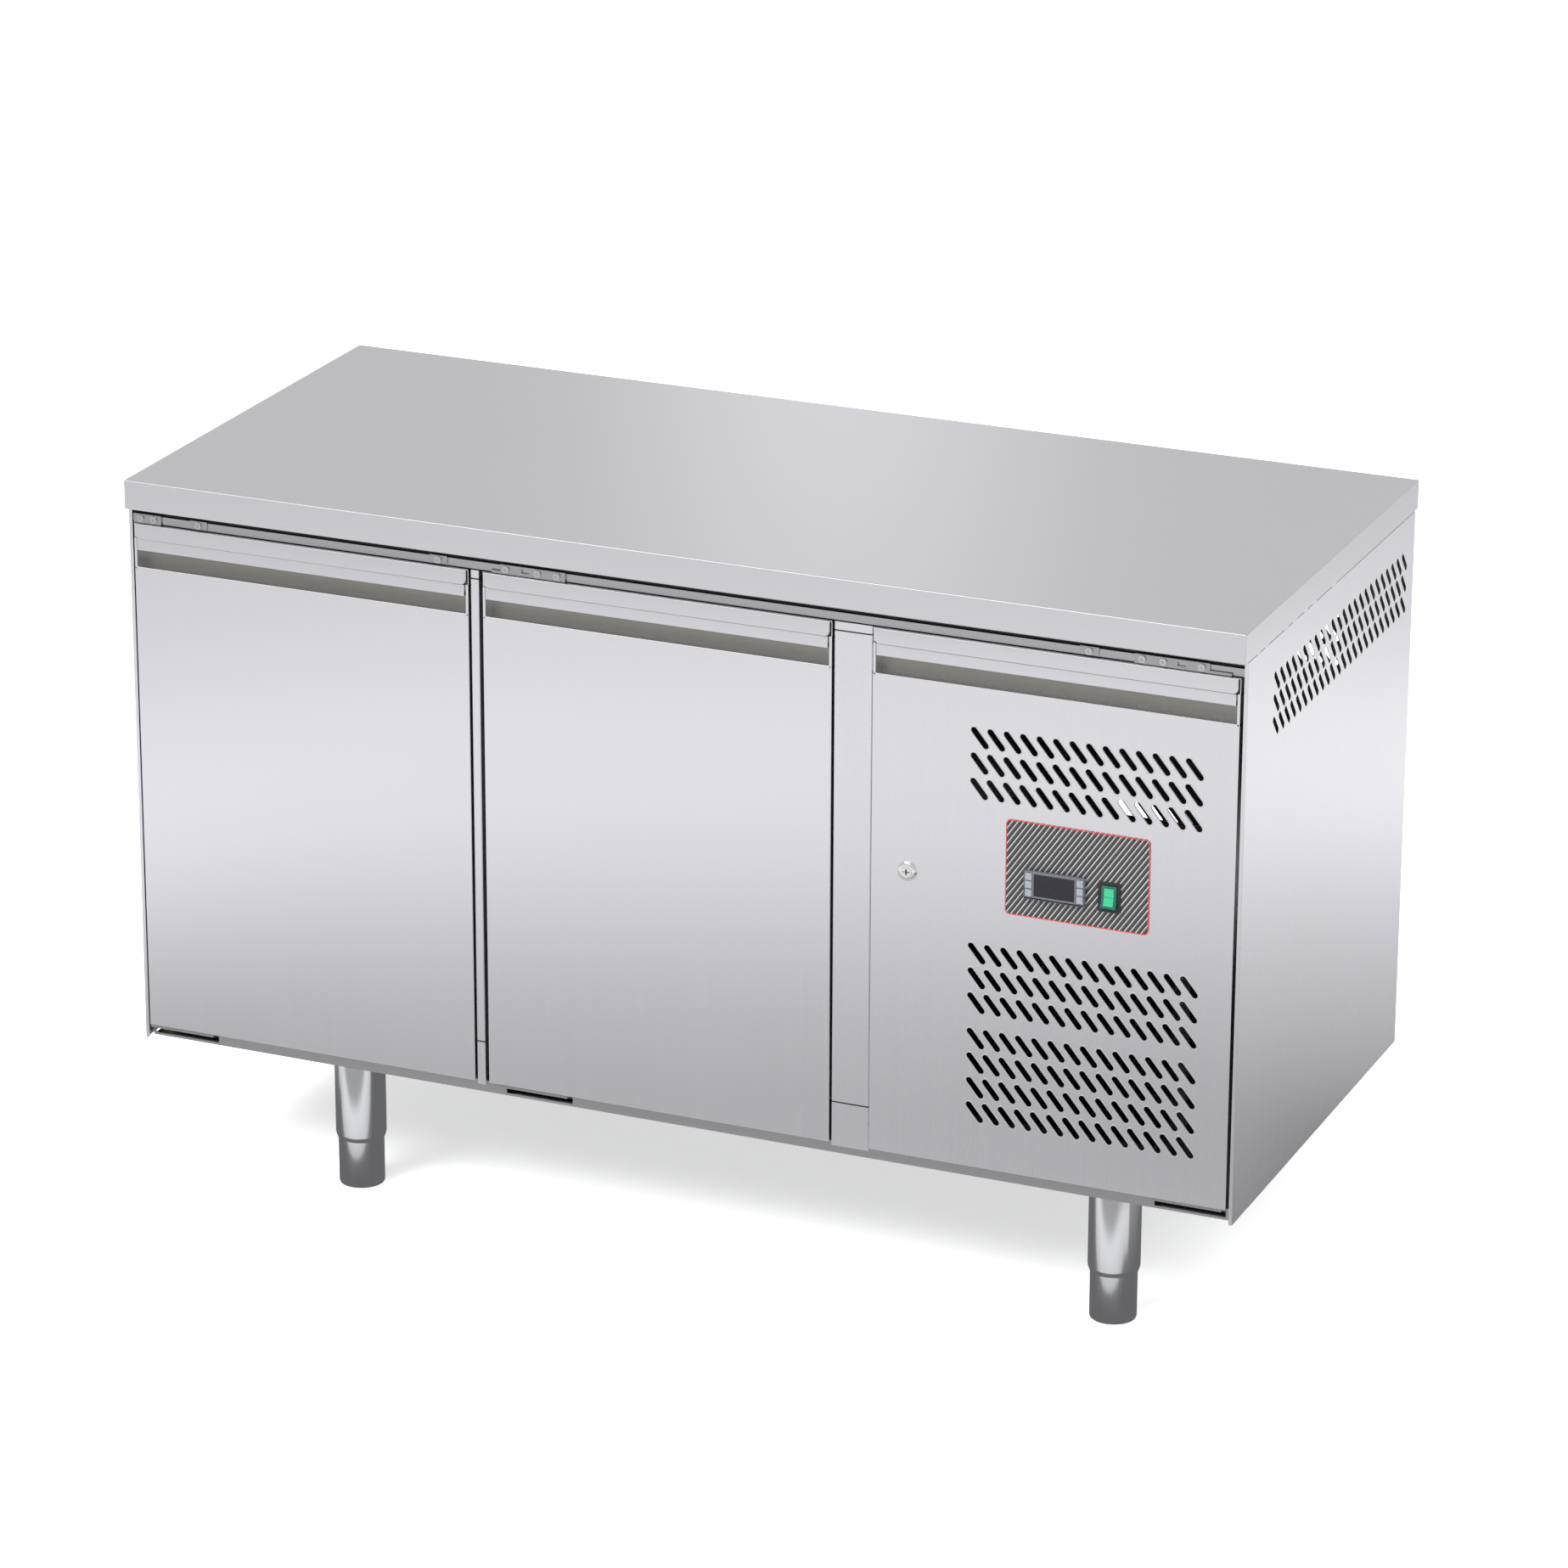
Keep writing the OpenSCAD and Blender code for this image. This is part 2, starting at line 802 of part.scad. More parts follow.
// Suction pipe to the cold room, and discharge pipe over to the condenser
module refrigerant_pipes() {
    r = 4;
    bend = 16;
    elbow_r = r + 1;
    socket = 3;
    shell_top = body_bottom + 20 + 176;
    rise = shell_top + 90;
    discharge_x = compressor_x + 30;
    coil_y = condenser_front + 25;
    coil_top = condenser_fan_z + 126;
    discharge_rise = coil_top + 30;
    color("#b87333") {
        union() {
            bar_z(compressor_x, compressor_y, shell_top, rise - bend + socket, r);
            translate([compressor_x - bend, compressor_y, rise - bend])
                rotate([90, 0, 0])
                    pipe_bend(bend, elbow_r);
            bar_x(machine_left, compressor_x - bend + socket, compressor_y, rise, r);
        }
        union() {
            bar_z(discharge_x, compressor_y, shell_top, discharge_rise - bend + socket, r);
            translate([discharge_x, compressor_y - bend, discharge_rise - bend])
                rotate([90, 0, 90])
                    pipe_bend(bend, elbow_r);
            bar_y(discharge_x, coil_y + bend - socket, compressor_y - bend + socket,
                discharge_rise, r);
            translate([discharge_x, coil_y + bend, discharge_rise - bend])
                rotate([90, 0, 90])
                    rotate(90)
                        pipe_bend(bend, elbow_r);
            bar_z(discharge_x, coil_y, coil_top, discharge_rise - bend + socket, r);
        }
    }
}

module drip_tray() {
    low = body_bottom + sheet;
    color("#9fa3a6")
        difference() {
            block([machine_left + 12, seal + 220, low], [machine_left + 130, body_back - 30,
                low + 40]);
            block([machine_left + 14, seal + 222, low + 2], [machine_left + 128, body_back - 32,
                low + 41]);
        }
}

// ---------- hinged leaves ----------

// The folded skin of a leaf: face, sides, bottom, the finger recess and its two cheeks
module leaf_skin(x_0, x_1, depth_back, pin) {
    y_back = face + depth_back;
    recess_back = face + recess_depth;
    difference() {
        union() {
            block([x_0, face, door_bottom], [x_1, face + sheet, recess_bottom]);
            block([x_0, face, door_bottom], [x_1, y_back, door_bottom + sheet]);
            block([x_0, face, recess_bottom - sheet], [x_1, recess_back, recess_bottom]);
            block([x_0, recess_back, recess_bottom - sheet], [x_1, recess_back + sheet,
                door_top - cap_sheet]);
            for (x = [x_0, x_1 - sheet]) {
                block([x, face, door_bottom], [x + sheet, y_back, recess_bottom]);
                block([x, face + cap_sheet, recess_bottom - sheet], [x + sheet, y_back,
                    door_top - cap_sheet]);
            }
            for (x = [x_0, x_1 - cheek]) {
                block([x, face, recess_bottom - sheet], [x + cheek, recess_back + sheet,
                    door_top - cap_height]);
            }
        }
        bar_z(pin, pin_y, door_bottom - 1, door_bottom + sheet + 1, pin_r + 0.5);
        children();
    }
}

// A rectangle whose two lower corners are round
module cap_outline(x_0, x_1, z_0, z_1, r) {
    hull() {
        translate([x_0 + r, z_0 + r])
            circle(r = r);
        translate([x_1 - r, z_0 + r])
            circle(r = r);
        translate([x_0, z_1 - r])
            square([x_1 - x_0, r]);
    }
}

// The grip: a boxed cap along the top edge, then a lip that hangs over the finger recess
module leaf_handle(x_0, x_1, depth_back, pin) {
    lip_top = door_top - cap_height;
    cap_face = face - cap_forward;
    lip_face = face - lip_forward;
    hem = 6;
    hem_face = face + 2.2;
    cap_x_0 = x_0 + cap_setback;
    cap_x_1 = x_1 - cap_setback;
    lip_x_0 = x_0 + lip_setback;
    lip_x_1 = x_1 - lip_setback;
    difference() {
        union() {
            block([x_0, face, door_top - cap_sheet], [x_1, face + depth_back, door_top]);
            difference() {
                front_sheet(cap_face, cap_forward + cap_sheet)
                    cap_outline(cap_x_0, cap_x_1, lip_top, door_top, cap_corner);
                front_sheet(cap_face + cap_sheet, cap_forward + cap_sheet)
                    cap_outline(cap_x_0 + cap_sheet, cap_x_1 - cap_sheet, lip_top + cap_sheet,
                        door_top - cap_sheet, cap_corner - cap_sheet);
            }
            block([lip_x_0, lip_face, recess_top], [lip_x_1, lip_face + cap_sheet,
                lip_top + cap_sheet]);
            block([lip_x_0, lip_face, recess_top], [lip_x_1, hem_face + cap_sheet,
                recess_top + cap_sheet]);
            block([lip_x_0, hem_face, recess_top], [lip_x_1, hem_face + cap_sheet,
                recess_top + hem]);
        }
        bar_z(pin, pin_y, door_top - 2, door_top + 1, pin_r + 0.5);
    }
}

// Two flanged hinge bushes, one at each end of a leaf
module leaf_bushes(pin) {
    difference() {
        union() {
            bar_z(pin, pin_y, door_top - 1.2 - bush_length, door_top - 1.2, bush_r);
            bar_z(pin, pin_y, door_bottom + sheet, door_bottom + sheet + bush_length, bush_r);
        }
        bar_z(pin, pin_y, door_top - 14, door_top, pin_r + running);
        bar_z(pin, pin_y, door_bottom, door_bottom + 14, pin_r + running);
    }
}

module door_foam(x_0, x_1, pin) {
    recess_back = face + recess_depth + sheet;
    difference() {
        union() {
            block([x_0 + sheet, face + sheet, door_bottom + sheet], [x_1 - sheet,
                door_back - sheet, recess_bottom - sheet]);
            block([x_0 + sheet, recess_back, door_bottom + sheet], [x_1 - sheet,
                door_back - sheet, door_top - 1.2]);
        }
        bar_z(pin, pin_y, door_bottom, door_bottom + sheet + bush_length, bush_r);
    }
}

module door_liner(x_0, x_1) {
    block([x_0 + sheet, door_back - sheet, door_bottom + sheet],
        [x_1 - sheet, door_back, door_top - 1.2]);
}

// A hollow-section seal, drawn as a closed frame that stops short of the cabinet's front
module door_gasket(x_0, x_1) {
    low = door_bottom + gasket_inset;
    high = door_top - gasket_inset;
    color(rubber_grey)
        difference() {
            block([x_0 + gasket_inset, door_back, low],
                [x_1 - gasket_inset, door_back + gasket_depth, high]);
            block([x_0 + gasket_inset + gasket_width, door_back - 1, low + gasket_width],
                [x_1 - gasket_inset - gasket_width, seal, high - gasket_width]);
        }
}

module door_left_skin() {
    color(steel)
        leaf_skin(door_1_left, door_1_right, door_thickness, pin_x[0]);
}

module door_left_handle() {
    color(steel)
        leaf_handle(door_1_left, door_1_right, door_thickness, pin_x[0]);
}

module door_left_foam() {
    color(foam_yellow)
        door_foam(door_1_left, door_1_right, pin_x[0]);
}

module door_left_liner() {
    color("white")
        door_liner(door_1_left, door_1_right);
}

module door_left_gasket() {
    door_gasket(door_1_left, door_1_right);
}

module door_left_bushes() {
    color("white")
        leaf_bushes(pin_x[0]);
}

module door_right_skin() {
    color(steel)
        leaf_skin(door_2_left, door_2_right, door_thickness, pin_x[1]);
}

module door_right_handle() {
    color(steel)
        leaf_handle(door_2_left, door_2_right, door_thickness, pin_x[1]);
}

module door_right_foam() {
    color(foam_yellow)
        door_foam(door_2_left, door_2_right, pin_x[1]);
}

module door_right_liner() {
    color("white")
        door_liner(door_2_left, door_2_right);
}

module door_right_gasket() {
    door_gasket(door_2_left, door_2_right);
}

module door_right_bushes() {
    color("white")
        leaf_bushes(pin_x[1]);
}

// ---------- machine panel ----------

// Everything cut through the machine panel's face
module panel_cuts() {
    front_sheet(face - 1, 4) {
        for (group = [[99, 3], [353, 3], [455, 4]])
            translate([panel_left + vents_left, door_top - group[0]])
                slot_field(panel_columns, group[1], column_pitch, row_pitch);
    }
    bar_y(lock_x, face - 1, face + 3, lock_z, 9 + running);
    case_and_switch_cuts();
}

module case_and_switch_cuts() {
    inset = 3;
    block([case_left + inset, face - 5, case_top - case_h + inset],
        [case_left + case_w - inset, face + 5, case_top - inset]);
    block([switch_left + inset, face - 5, switch_top - switch_h + inset],
        [switch_left + switch_w - inset, face + 5, switch_top - inset]);
}

module machine_panel() {
    color(steel)
        leaf_skin(panel_left, panel_right, panel_depth, pin_x[2])
            panel_cuts();
}

module panel_handle() {
    color(steel)
        leaf_handle(panel_left, panel_right, panel_depth, pin_x[2]);
}

module panel_bushes() {
    color("white")
        leaf_bushes(pin_x[2]);
}

module control_plate() {
    thickness = 0.8;
    corner = 6;
    color(black)
        difference() {
            front_sheet(face - thickness, thickness)
                translate([plate_left, plate_top - plate_h])
                    union() {
                        translate([corner, 0])
                            square([plate_w - 2 * corner, plate_h]);
                        translate([0, corner])
                            square([plate_w, plate_h - 2 * corner]);
                        for (x = [corner, plate_w - corner])
                            for (z = [corner, plate_h - corner])
                                translate([x, z])
                                    circle(r = corner);
                    }
            case_and_switch_cuts();
        }
}

// Low corners of the six keys, three at each end of the thermostat's bezel
key_corners = [
    for (side = [0, 1])
        for (row = [0 : 2])
            [case_left + key_inset + side * (case_w - 2 * key_inset - key_w),
                case_top - 2.2 - row * key_pitch - key_h]
];
plate_front = face - 0.8;
bezel_depth = 5;
bezel_front = plate_front - bezel_depth;
key_slack = 0.15;

module thermostat_case() {
    pocket = 4;
    display_left = case_left + 12;
    display_right = case_left + case_w - 12;
    color(black)
        difference() {
            union() {
                block([case_left, bezel_front, case_top - case_h], [case_left + case_w,
                    plate_front, case_top]);
                block([case_left + 3, plate_front - overlap, case_top - case_h + 3],
                    [case_left + case_w - 3, face + 44, case_top - 3]);
            }
            for (corner = key_corners)
                block([corner[0] - key_slack, bezel_front - 1, corner[1] - key_slack],
                    [corner[0] + key_w + key_slack, bezel_front + pocket,
                        corner[1] + key_h + key_slack]);
            block([display_left, bezel_front - 1, case_top - case_h + 3.5],
                [display_right, bezel_front + 1.2, case_top - 2.5]);
        }
}

module thermostat_key(k) {
    corner = key_corners[k];
    color("#8b8f94")
        block([corner[0], bezel_front - 0.3, corner[1]],
            [corner[0] + key_w, bezel_front + 3, corner[1] + key_h]);
}

rocker_w = 20;
rocker_r = 14;
rocker_tilt = 8;
rocker_x = switch_left + switch_w / 2;
rocker_y = plate_front + 1;
rocker_z = switch_top - switch_h / 2;
rocker_pin_r = 1.5;

module switch_housing() {
    rim = 1.5;
    slack = 0.25;
    wall = 3;
    color(black)
        difference() {
            union() {
                block([switch_left, plate_front - rim, switch_top - switch_h],
                    [switch_left + switch_w, plate_front, switch_top]);
                block([switch_left + wall, plate_front - overlap, switch_top - switch_h + wall],
                    [switch_left + switch_w - wall, face + 26, switch_top - wall]);
            }
            block([rocker_x - rocker_w / 2 + 0.7, plate_front - rim - 1,
                    rocker_z - rocker_r - slack],
                [rocker_x + rocker_w / 2 - 0.7, face + 22, rocker_z + rocker_r + slack]);
            bar_x(rocker_x - rocker_w / 2 - 0.2, rocker_x + rocker_w / 2 + 0.2, rocker_y,
                rocker_z, rocker_pin_r + running);
        }
}

// A rocker on a cross pin: two faces that meet in a shallow vee, its upper half pressed in
module switch_rocker() {
    color("seagreen")
        union() {
            translate([rocker_x - rocker_w / 2 + 1.2, rocker_y, rocker_z])
                rotate([90, 0, 90])
                    linear_extrude(rocker_w - 2.4)
                        rotate(-rocker_tilt)
                            intersection() {
                                circle(r = rocker_r);
                                polygon([[-3.6, 0], [-5.6, rocker_r], [2, rocker_r], [6, 4],
                                    [6, -4], [2, -rocker_r], [-5.6, -rocker_r]]);
                            }
            bar_x(rocker_x - rocker_w / 2, rocker_x + rocker_w / 2, rocker_y, rocker_z,
                rocker_pin_r);
        }
}

module lock_barrel() {
    color("silver")
        difference() {
            union() {
                bar_y(lock_x, face - 3.5, face, lock_z, 11.5);
                bar_y(lock_x, face - overlap, face + 26, lock_z, 9);
            }
            bar_y(lock_x, face - 5, face + 27, lock_z, 6 + running);
        }
}

module lock_cylinder() {
    cam_y = face + 29;
    cam_length = 52;
    color("silver")
        difference() {
            union() {
                bar_y(lock_x, face - 4, cam_y + 3, lock_z, 6);
                block([lock_x - 7, cam_y, lock_z - 7], [lock_x + 7, cam_y + 2.5,
                    lock_z + cam_length]);
            }
            block([lock_x - 4, face - 5, lock_z - 0.8], [lock_x + 4, face + 6, lock_z + 0.8]);
        }
}

worktop_skin();
worktop_core();
left_side_panel();
right_side_panel();
back_panel();
rear_grille();
base_panel();
cabinet_foam();
inner_liner();
top_rail();
bottom_rail();
door_mullion();
machine_stile();
front_brackets();
hinge_pins();
front_screws();
leg_tubes();
shelf_runners();
wire_shelves();
evaporator_cover();
evaporator_coil();
fan_motors();
condenser_coil();
compressor();
refrigerant_pipes();
drip_tray();
cable_gland();
evaporator_fan();
condenser_fan();
door_left_skin();
door_left_handle();
door_left_foam();
door_left_liner();
door_left_gasket();
door_left_bushes();
door_right_skin();
door_right_handle();
door_right_foam();
door_right_liner();
door_right_gasket();
door_right_bushes();
machine_panel();
panel_handle();
panel_bushes();
control_plate();
thermostat_case();
switch_housing();
switch_rocker();
lock_barrel();
lock_cylinder();
thermostat_key(0);  // thermostat_key_1
thermostat_key(1);  // thermostat_key_2
thermostat_key(2);  // thermostat_key_3
thermostat_key(3);  // thermostat_key_4
thermostat_key(4);  // thermostat_key_5
thermostat_key(5);  // thermostat_key_6
leg_insert(0);  // leg_insert_1
leg_insert(1);  // leg_insert_2
leg_insert(2);  // leg_insert_3
leg_insert(3);  // leg_insert_4
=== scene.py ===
import math

import bmesh
import bpy
from mathutils import Matrix, Vector


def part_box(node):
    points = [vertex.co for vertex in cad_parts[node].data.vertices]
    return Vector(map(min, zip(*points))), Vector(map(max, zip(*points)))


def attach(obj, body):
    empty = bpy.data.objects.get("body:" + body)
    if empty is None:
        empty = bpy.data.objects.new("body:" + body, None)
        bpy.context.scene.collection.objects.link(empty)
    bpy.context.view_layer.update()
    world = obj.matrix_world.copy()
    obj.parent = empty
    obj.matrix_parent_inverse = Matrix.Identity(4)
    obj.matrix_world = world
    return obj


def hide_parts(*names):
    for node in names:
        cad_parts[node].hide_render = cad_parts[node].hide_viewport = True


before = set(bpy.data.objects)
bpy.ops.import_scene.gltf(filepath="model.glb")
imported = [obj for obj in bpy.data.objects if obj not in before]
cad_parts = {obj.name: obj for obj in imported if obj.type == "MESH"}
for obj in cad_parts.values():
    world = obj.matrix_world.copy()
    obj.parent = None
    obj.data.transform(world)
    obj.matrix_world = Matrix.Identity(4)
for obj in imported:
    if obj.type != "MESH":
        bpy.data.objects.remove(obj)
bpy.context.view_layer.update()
MM = 0.001

# ---------- sizes that the looks need, in metres ----------

SHEET = 1.0 * MM
RAIL_GAUGE = 1.2 * MM
CAP_HEIGHT = 18 * MM
CAP_PROUD = 2.5 * MM
CAP_SETBACK = 2 * MM
LIP_HEIGHT = 14.5 * MM
LIP_PROUD = 1 * MM
LIP_SETBACK = 4.5 * MM
RECESS_HEIGHT = 20 * MM
RECESS_DEPTH = 18 * MM
CAP_GAUGE = 1.2 * MM
CHEEK = 3.5 * MM
SLOT_WIDTH = 7 * MM
SLOT_RUN = 14 * MM
SLOT_RISE = 17 * MM
COLUMN_PITCH = 19.2 * MM
ROW_PITCH = 29.7 * MM
SIDE_COLUMN_PITCH = 19.4 * MM
SIDE_ROW_PITCH = 26 * MM

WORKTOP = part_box("worktop_skin")
DOORS = {"door_left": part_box("door_left_skin"), "door_right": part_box("door_right_skin")}
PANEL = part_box("machine_panel")
PANEL_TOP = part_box("panel_handle")[1].z
LIP_TOP = PANEL_TOP - CAP_HEIGHT
RECESS_TOP = LIP_TOP - LIP_HEIGHT
RECESS_BOTTOM = RECESS_TOP - RECESS_HEIGHT
FACE = PANEL[0].y
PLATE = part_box("control_plate")


# ---------- mesh builder ----------

def round_path(points, radius, steps=5):
    """An open path whose inner corners are replaced by arcs of the given radius."""
    points = [Vector(p) for p in points]
    path = [points[0]]
    for before, corner, after in zip(points, points[1:], points[2:]):
        back, on = (before - corner).normalized(), (after - corner).normalized()
        half = back.angle(on) / 2
        shorter = min((before - corner).length, (after - corner).length)
        reach = min(radius / math.tan(half), 0.49 * shorter)
        r = reach * math.tan(half)
        centre = corner + (back + on).normalized() * (r / math.sin(half))
        start, end = corner + back * reach - centre, corner + on * reach - centre
        sweep = start.angle(end)
        for k in range(steps + 1):
            t = k / steps
            blend = (math.sin((1 - t) * sweep) * start + math.sin(t * sweep) * end) / math.sin(sweep)
            path.append(centre + blend)
    path.append(points[-1])
    return path


def ribbon(path, thickness):
    """The closed outline of a strip of even thickness about an open 2D path."""
    left, right = [], []
    for k, p in enumerate(path):
        step_in = (p - path[k - 1]).normalized() if k else (path[1] - p).normalized()
        step_out = (path[k + 1] - p).normalized() if k + 1 < len(path) else step_in
        along = (step_in + step_out).normalized()
        normal = Vector((-along.y, along.x))
        reach = thickness / 2 / max(0.3, along.dot(step_in))
        left.append(p + normal * reach)
        right.append(p - normal * reach)
    return left + right[::-1]


def rounded_rectangle(low, high, radius, steps=6):
    """Corner points of a rectangle with four equal round corners, anticlockwise."""
    points = []
    corners = [(high[0] - radius, low[1] + radius, -90), (high[0] - radius, high[1] - radius, 0),
               (low[0] + radius, high[1] - radius, 90), (low[0] + radius, low[1] + radius, 180)]
    for x, y, start in corners:
        for k in range(steps + 1):
            a = math.radians(start + 90 * k / steps)
            points.append((x + radius * math.cos(a), y + radius * math.sin(a)))
    return points


def slot_outline(left, top, grow=0.0, steps=6):
    """One slanted vent slot, clockwise, from the top left corner of its box."""
    half = SLOT_WIDTH / 2
    r = half + grow
    lean = math.atan2(-SLOT_RISE, SLOT_RUN)
    points = []
    ends = (((left + half, top - half), math.pi / 2),
            ((left + half + SLOT_RUN, top - half - SLOT_RISE), -math.pi / 2))
    for centre, turn in ends:
        for k in range(steps + 1):
            a = lean + turn + math.pi * k / steps
            points.append((centre[0] + r * math.cos(a), centre[1] + r * math.sin(a)))
    return points[::-1]


def slot_rows(left, top, columns, rows, across, down, grow=0.0):
    """The outlines of a field of slots, from its top left corner."""
    return [slot_outline(left + c * across, top - r * down, grow)
            for c in range(columns) for r in range(rows)]


# How a flat outline (u, v) with its face along w is stood up in the row frame
FRONT_ON = Matrix(((1, 0, 0, 0), (0, 0, -1, 0), (0, 1, 0, 0), (0, 0, 0, 1)))
RIGHT_ON = Matrix(((0, 0, 1, 0), (1, 0, 0, 0), (0, 1, 0, 0), (0, 0, 0, 1)))


class Piece:
    """One Blender object, built up from closed solids in the row frame."""

    def __init__(self, name):
        self.name = name
        self.bm = bmesh.new()

    def add(self, part):
        mesh = bpy.data.meshes.new("part")
        part.to_mesh(mesh)
        part.free()
        self.bm.from_mesh(mesh)
        bpy.data.meshes.remove(mesh)
        return self

    def box(self, low, high, radius=0.0, segments=3):
        """A box with every edge rounded."""
        part = bmesh.new()
        bmesh.ops.create_cube(part, size=1)
        low, high = Vector(low), Vector(high)
        for v in part.verts:
            v.co = Vector(low[i] + (v.co[i] + 0.5) * (high[i] - low[i]) for i in range(3))
        if radius:
            bmesh.ops.bevel(part, geom=part.edges[:], offset=radius, segments=segments, profile=0.5,
                            affect="EDGES", clamp_overlap=True)
        return self.add(part)

    def prism(self, outline, low, high, place):
        """A 2D outline drawn out from low to high, then placed by a matrix."""
        part = bmesh.new()
        near = [part.verts.new((p[0], p[1], low)) for p in outline]
        far = [part.verts.new((p[0], p[1], high)) for p in outline]
        part.faces.new(near[::-1])
        part.faces.new(far)
        for k in range(len(near)):
            n = (k + 1) % len(near)
            part.faces.new((near[k], near[n], far[n], far[k]))
        part.transform(place)
        bmesh.ops.recalc_face_normals(part, faces=part.faces[:])
        return self.add(part)

    def bent(self, path, thickness, radius, low, high, place):
        """A bent sheet: a strip about a rounded path, drawn out from low to high."""
        return self.prism(ribbon(round_path(path, radius), thickness), low, high, place)

    def plate(self, outline, holes, thickness, rim, place):
        """A flat plate with holes and rounded rims. Its back lies on the plane of the outline."""
        curve = bpy.data.curves.new("plate", "CURVE")
        curve.dimensions = "2D"
        curve.fill_mode = "BOTH"
        curve.extrude = thickness / 2 - rim
        curve.bevel_depth = rim
        curve.bevel_resolution = 2
        curve.offset = -rim
        for loop in [outline] + list(holes):
            spline = curve.splines.new("POLY")
            spline.points.add(len(loop) - 1)
            for point, p in zip(spline.points, loop):
                point.co = (p[0], p[1], 0, 1)
            spline.use_cyclic_u = True
        holder = bpy.data.objects.new("plate", curve)
        bpy.context.scene.collection.objects.link(holder)
        bpy.context.view_layer.update()
        mesh = bpy.data.meshes.new_from_object(holder.evaluated_get(bpy.context.evaluated_depsgraph_get()))
        bpy.data.objects.remove(holder)
        bpy.data.curves.remove(curve)
        part = bmesh.new()
        part.from_mesh(mesh)
        bpy.data.meshes.remove(mesh)
        bmesh.ops.remove_doubles(part, verts=part.verts[:], dist=1e-6)
        part.transform(place @ Matrix.Translation((0, 0, thickness / 2)))
        return self.add(part)

    def rings(self, fields, width, proud, place):
        """A raised bright edge round every slot of some slot fields."""
        loops = []
        for field in fields:
            loops += [loop[::-1] for loop in slot_rows(*field, grow=width)]
            loops += slot_rows(*field)
        return self.plate(loops[0], loops[1:], proud + 0.4 * MM, 0.3 * MM, place)

    def lathe(self, profile, centre, axis=(0, 0, 1), segments=96):
        """A profile of (radius, height) points turned about an axis."""
        part = bmesh.new()
        turn = Vector((0, 0, 1)).rotation_difference(Vector(axis)).to_matrix().to_4x4()
        rings = []
        for r, h in profile:
            if r < 1e-7:
                rings.append([part.verts.new((0, 0, h))])
            else:
                rings.append([part.verts.new((r * math.cos(2 * math.pi * k / segments),
                                              r * math.sin(2 * math.pi * k / segments), h))
                              for k in range(segments)])
        for a, b in zip(rings, rings[1:]):
            for k in range(segments):
                n = (k + 1) % segments
                corners = [a[k % len(a)], a[n % len(a)], b[n % len(b)], b[k % len(b)]]
                kept = [v for i, v in enumerate(corners) if v not in corners[:i]]
                if len(kept) > 2:
                    part.faces.new(kept)
        part.transform(Matrix.Translation(centre) @ turn)
        bmesh.ops.recalc_face_normals(part, faces=part.faces[:])
        return self.add(part)

    def frame_sweep(self, low, high, profile):
        """A profile of (inset, y) points carried round an upright rectangle, mitred at its corners."""
        part = bmesh.new()
        rings = []
        for inset, y in profile:
            rings.append([part.verts.new((x, y, z)) for x, z in (
                (low[0] + inset, low[1] + inset), (high[0] - inset, low[1] + inset),
                (high[0] - inset, high[1] - inset), (low[0] + inset, high[1] - inset))])
        for a, b in zip(rings, rings[1:] + rings[:1]):
            for k in range(4):
                n = (k + 1) % 4
                part.faces.new((a[k], a[n], b[n], b[k]))
        bmesh.ops.recalc_face_normals(part, faces=part.faces[:])
        return self.add(part)

    def finish(self, material, body, replaced=(), slot=None, sharp=35):
        mesh = bpy.data.meshes.new(self.name)
        self.bm.to_mesh(mesh)
        self.bm.free()
        mesh.materials.append(material)
        mesh.shade_smooth()
        mesh.set_sharp_from_angle(angle=math.radians(sharp))
        piece = bpy.data.objects.new(self.name, mesh)
        bpy.context.scene.collection.objects.link(piece)
        even = piece.modifiers.new("even normals", "WEIGHTED_NORMAL")
        even.keep_sharp = True
        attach(piece, body)
        if replaced:
            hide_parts(*replaced)
        return piece


# ---------- materials ----------

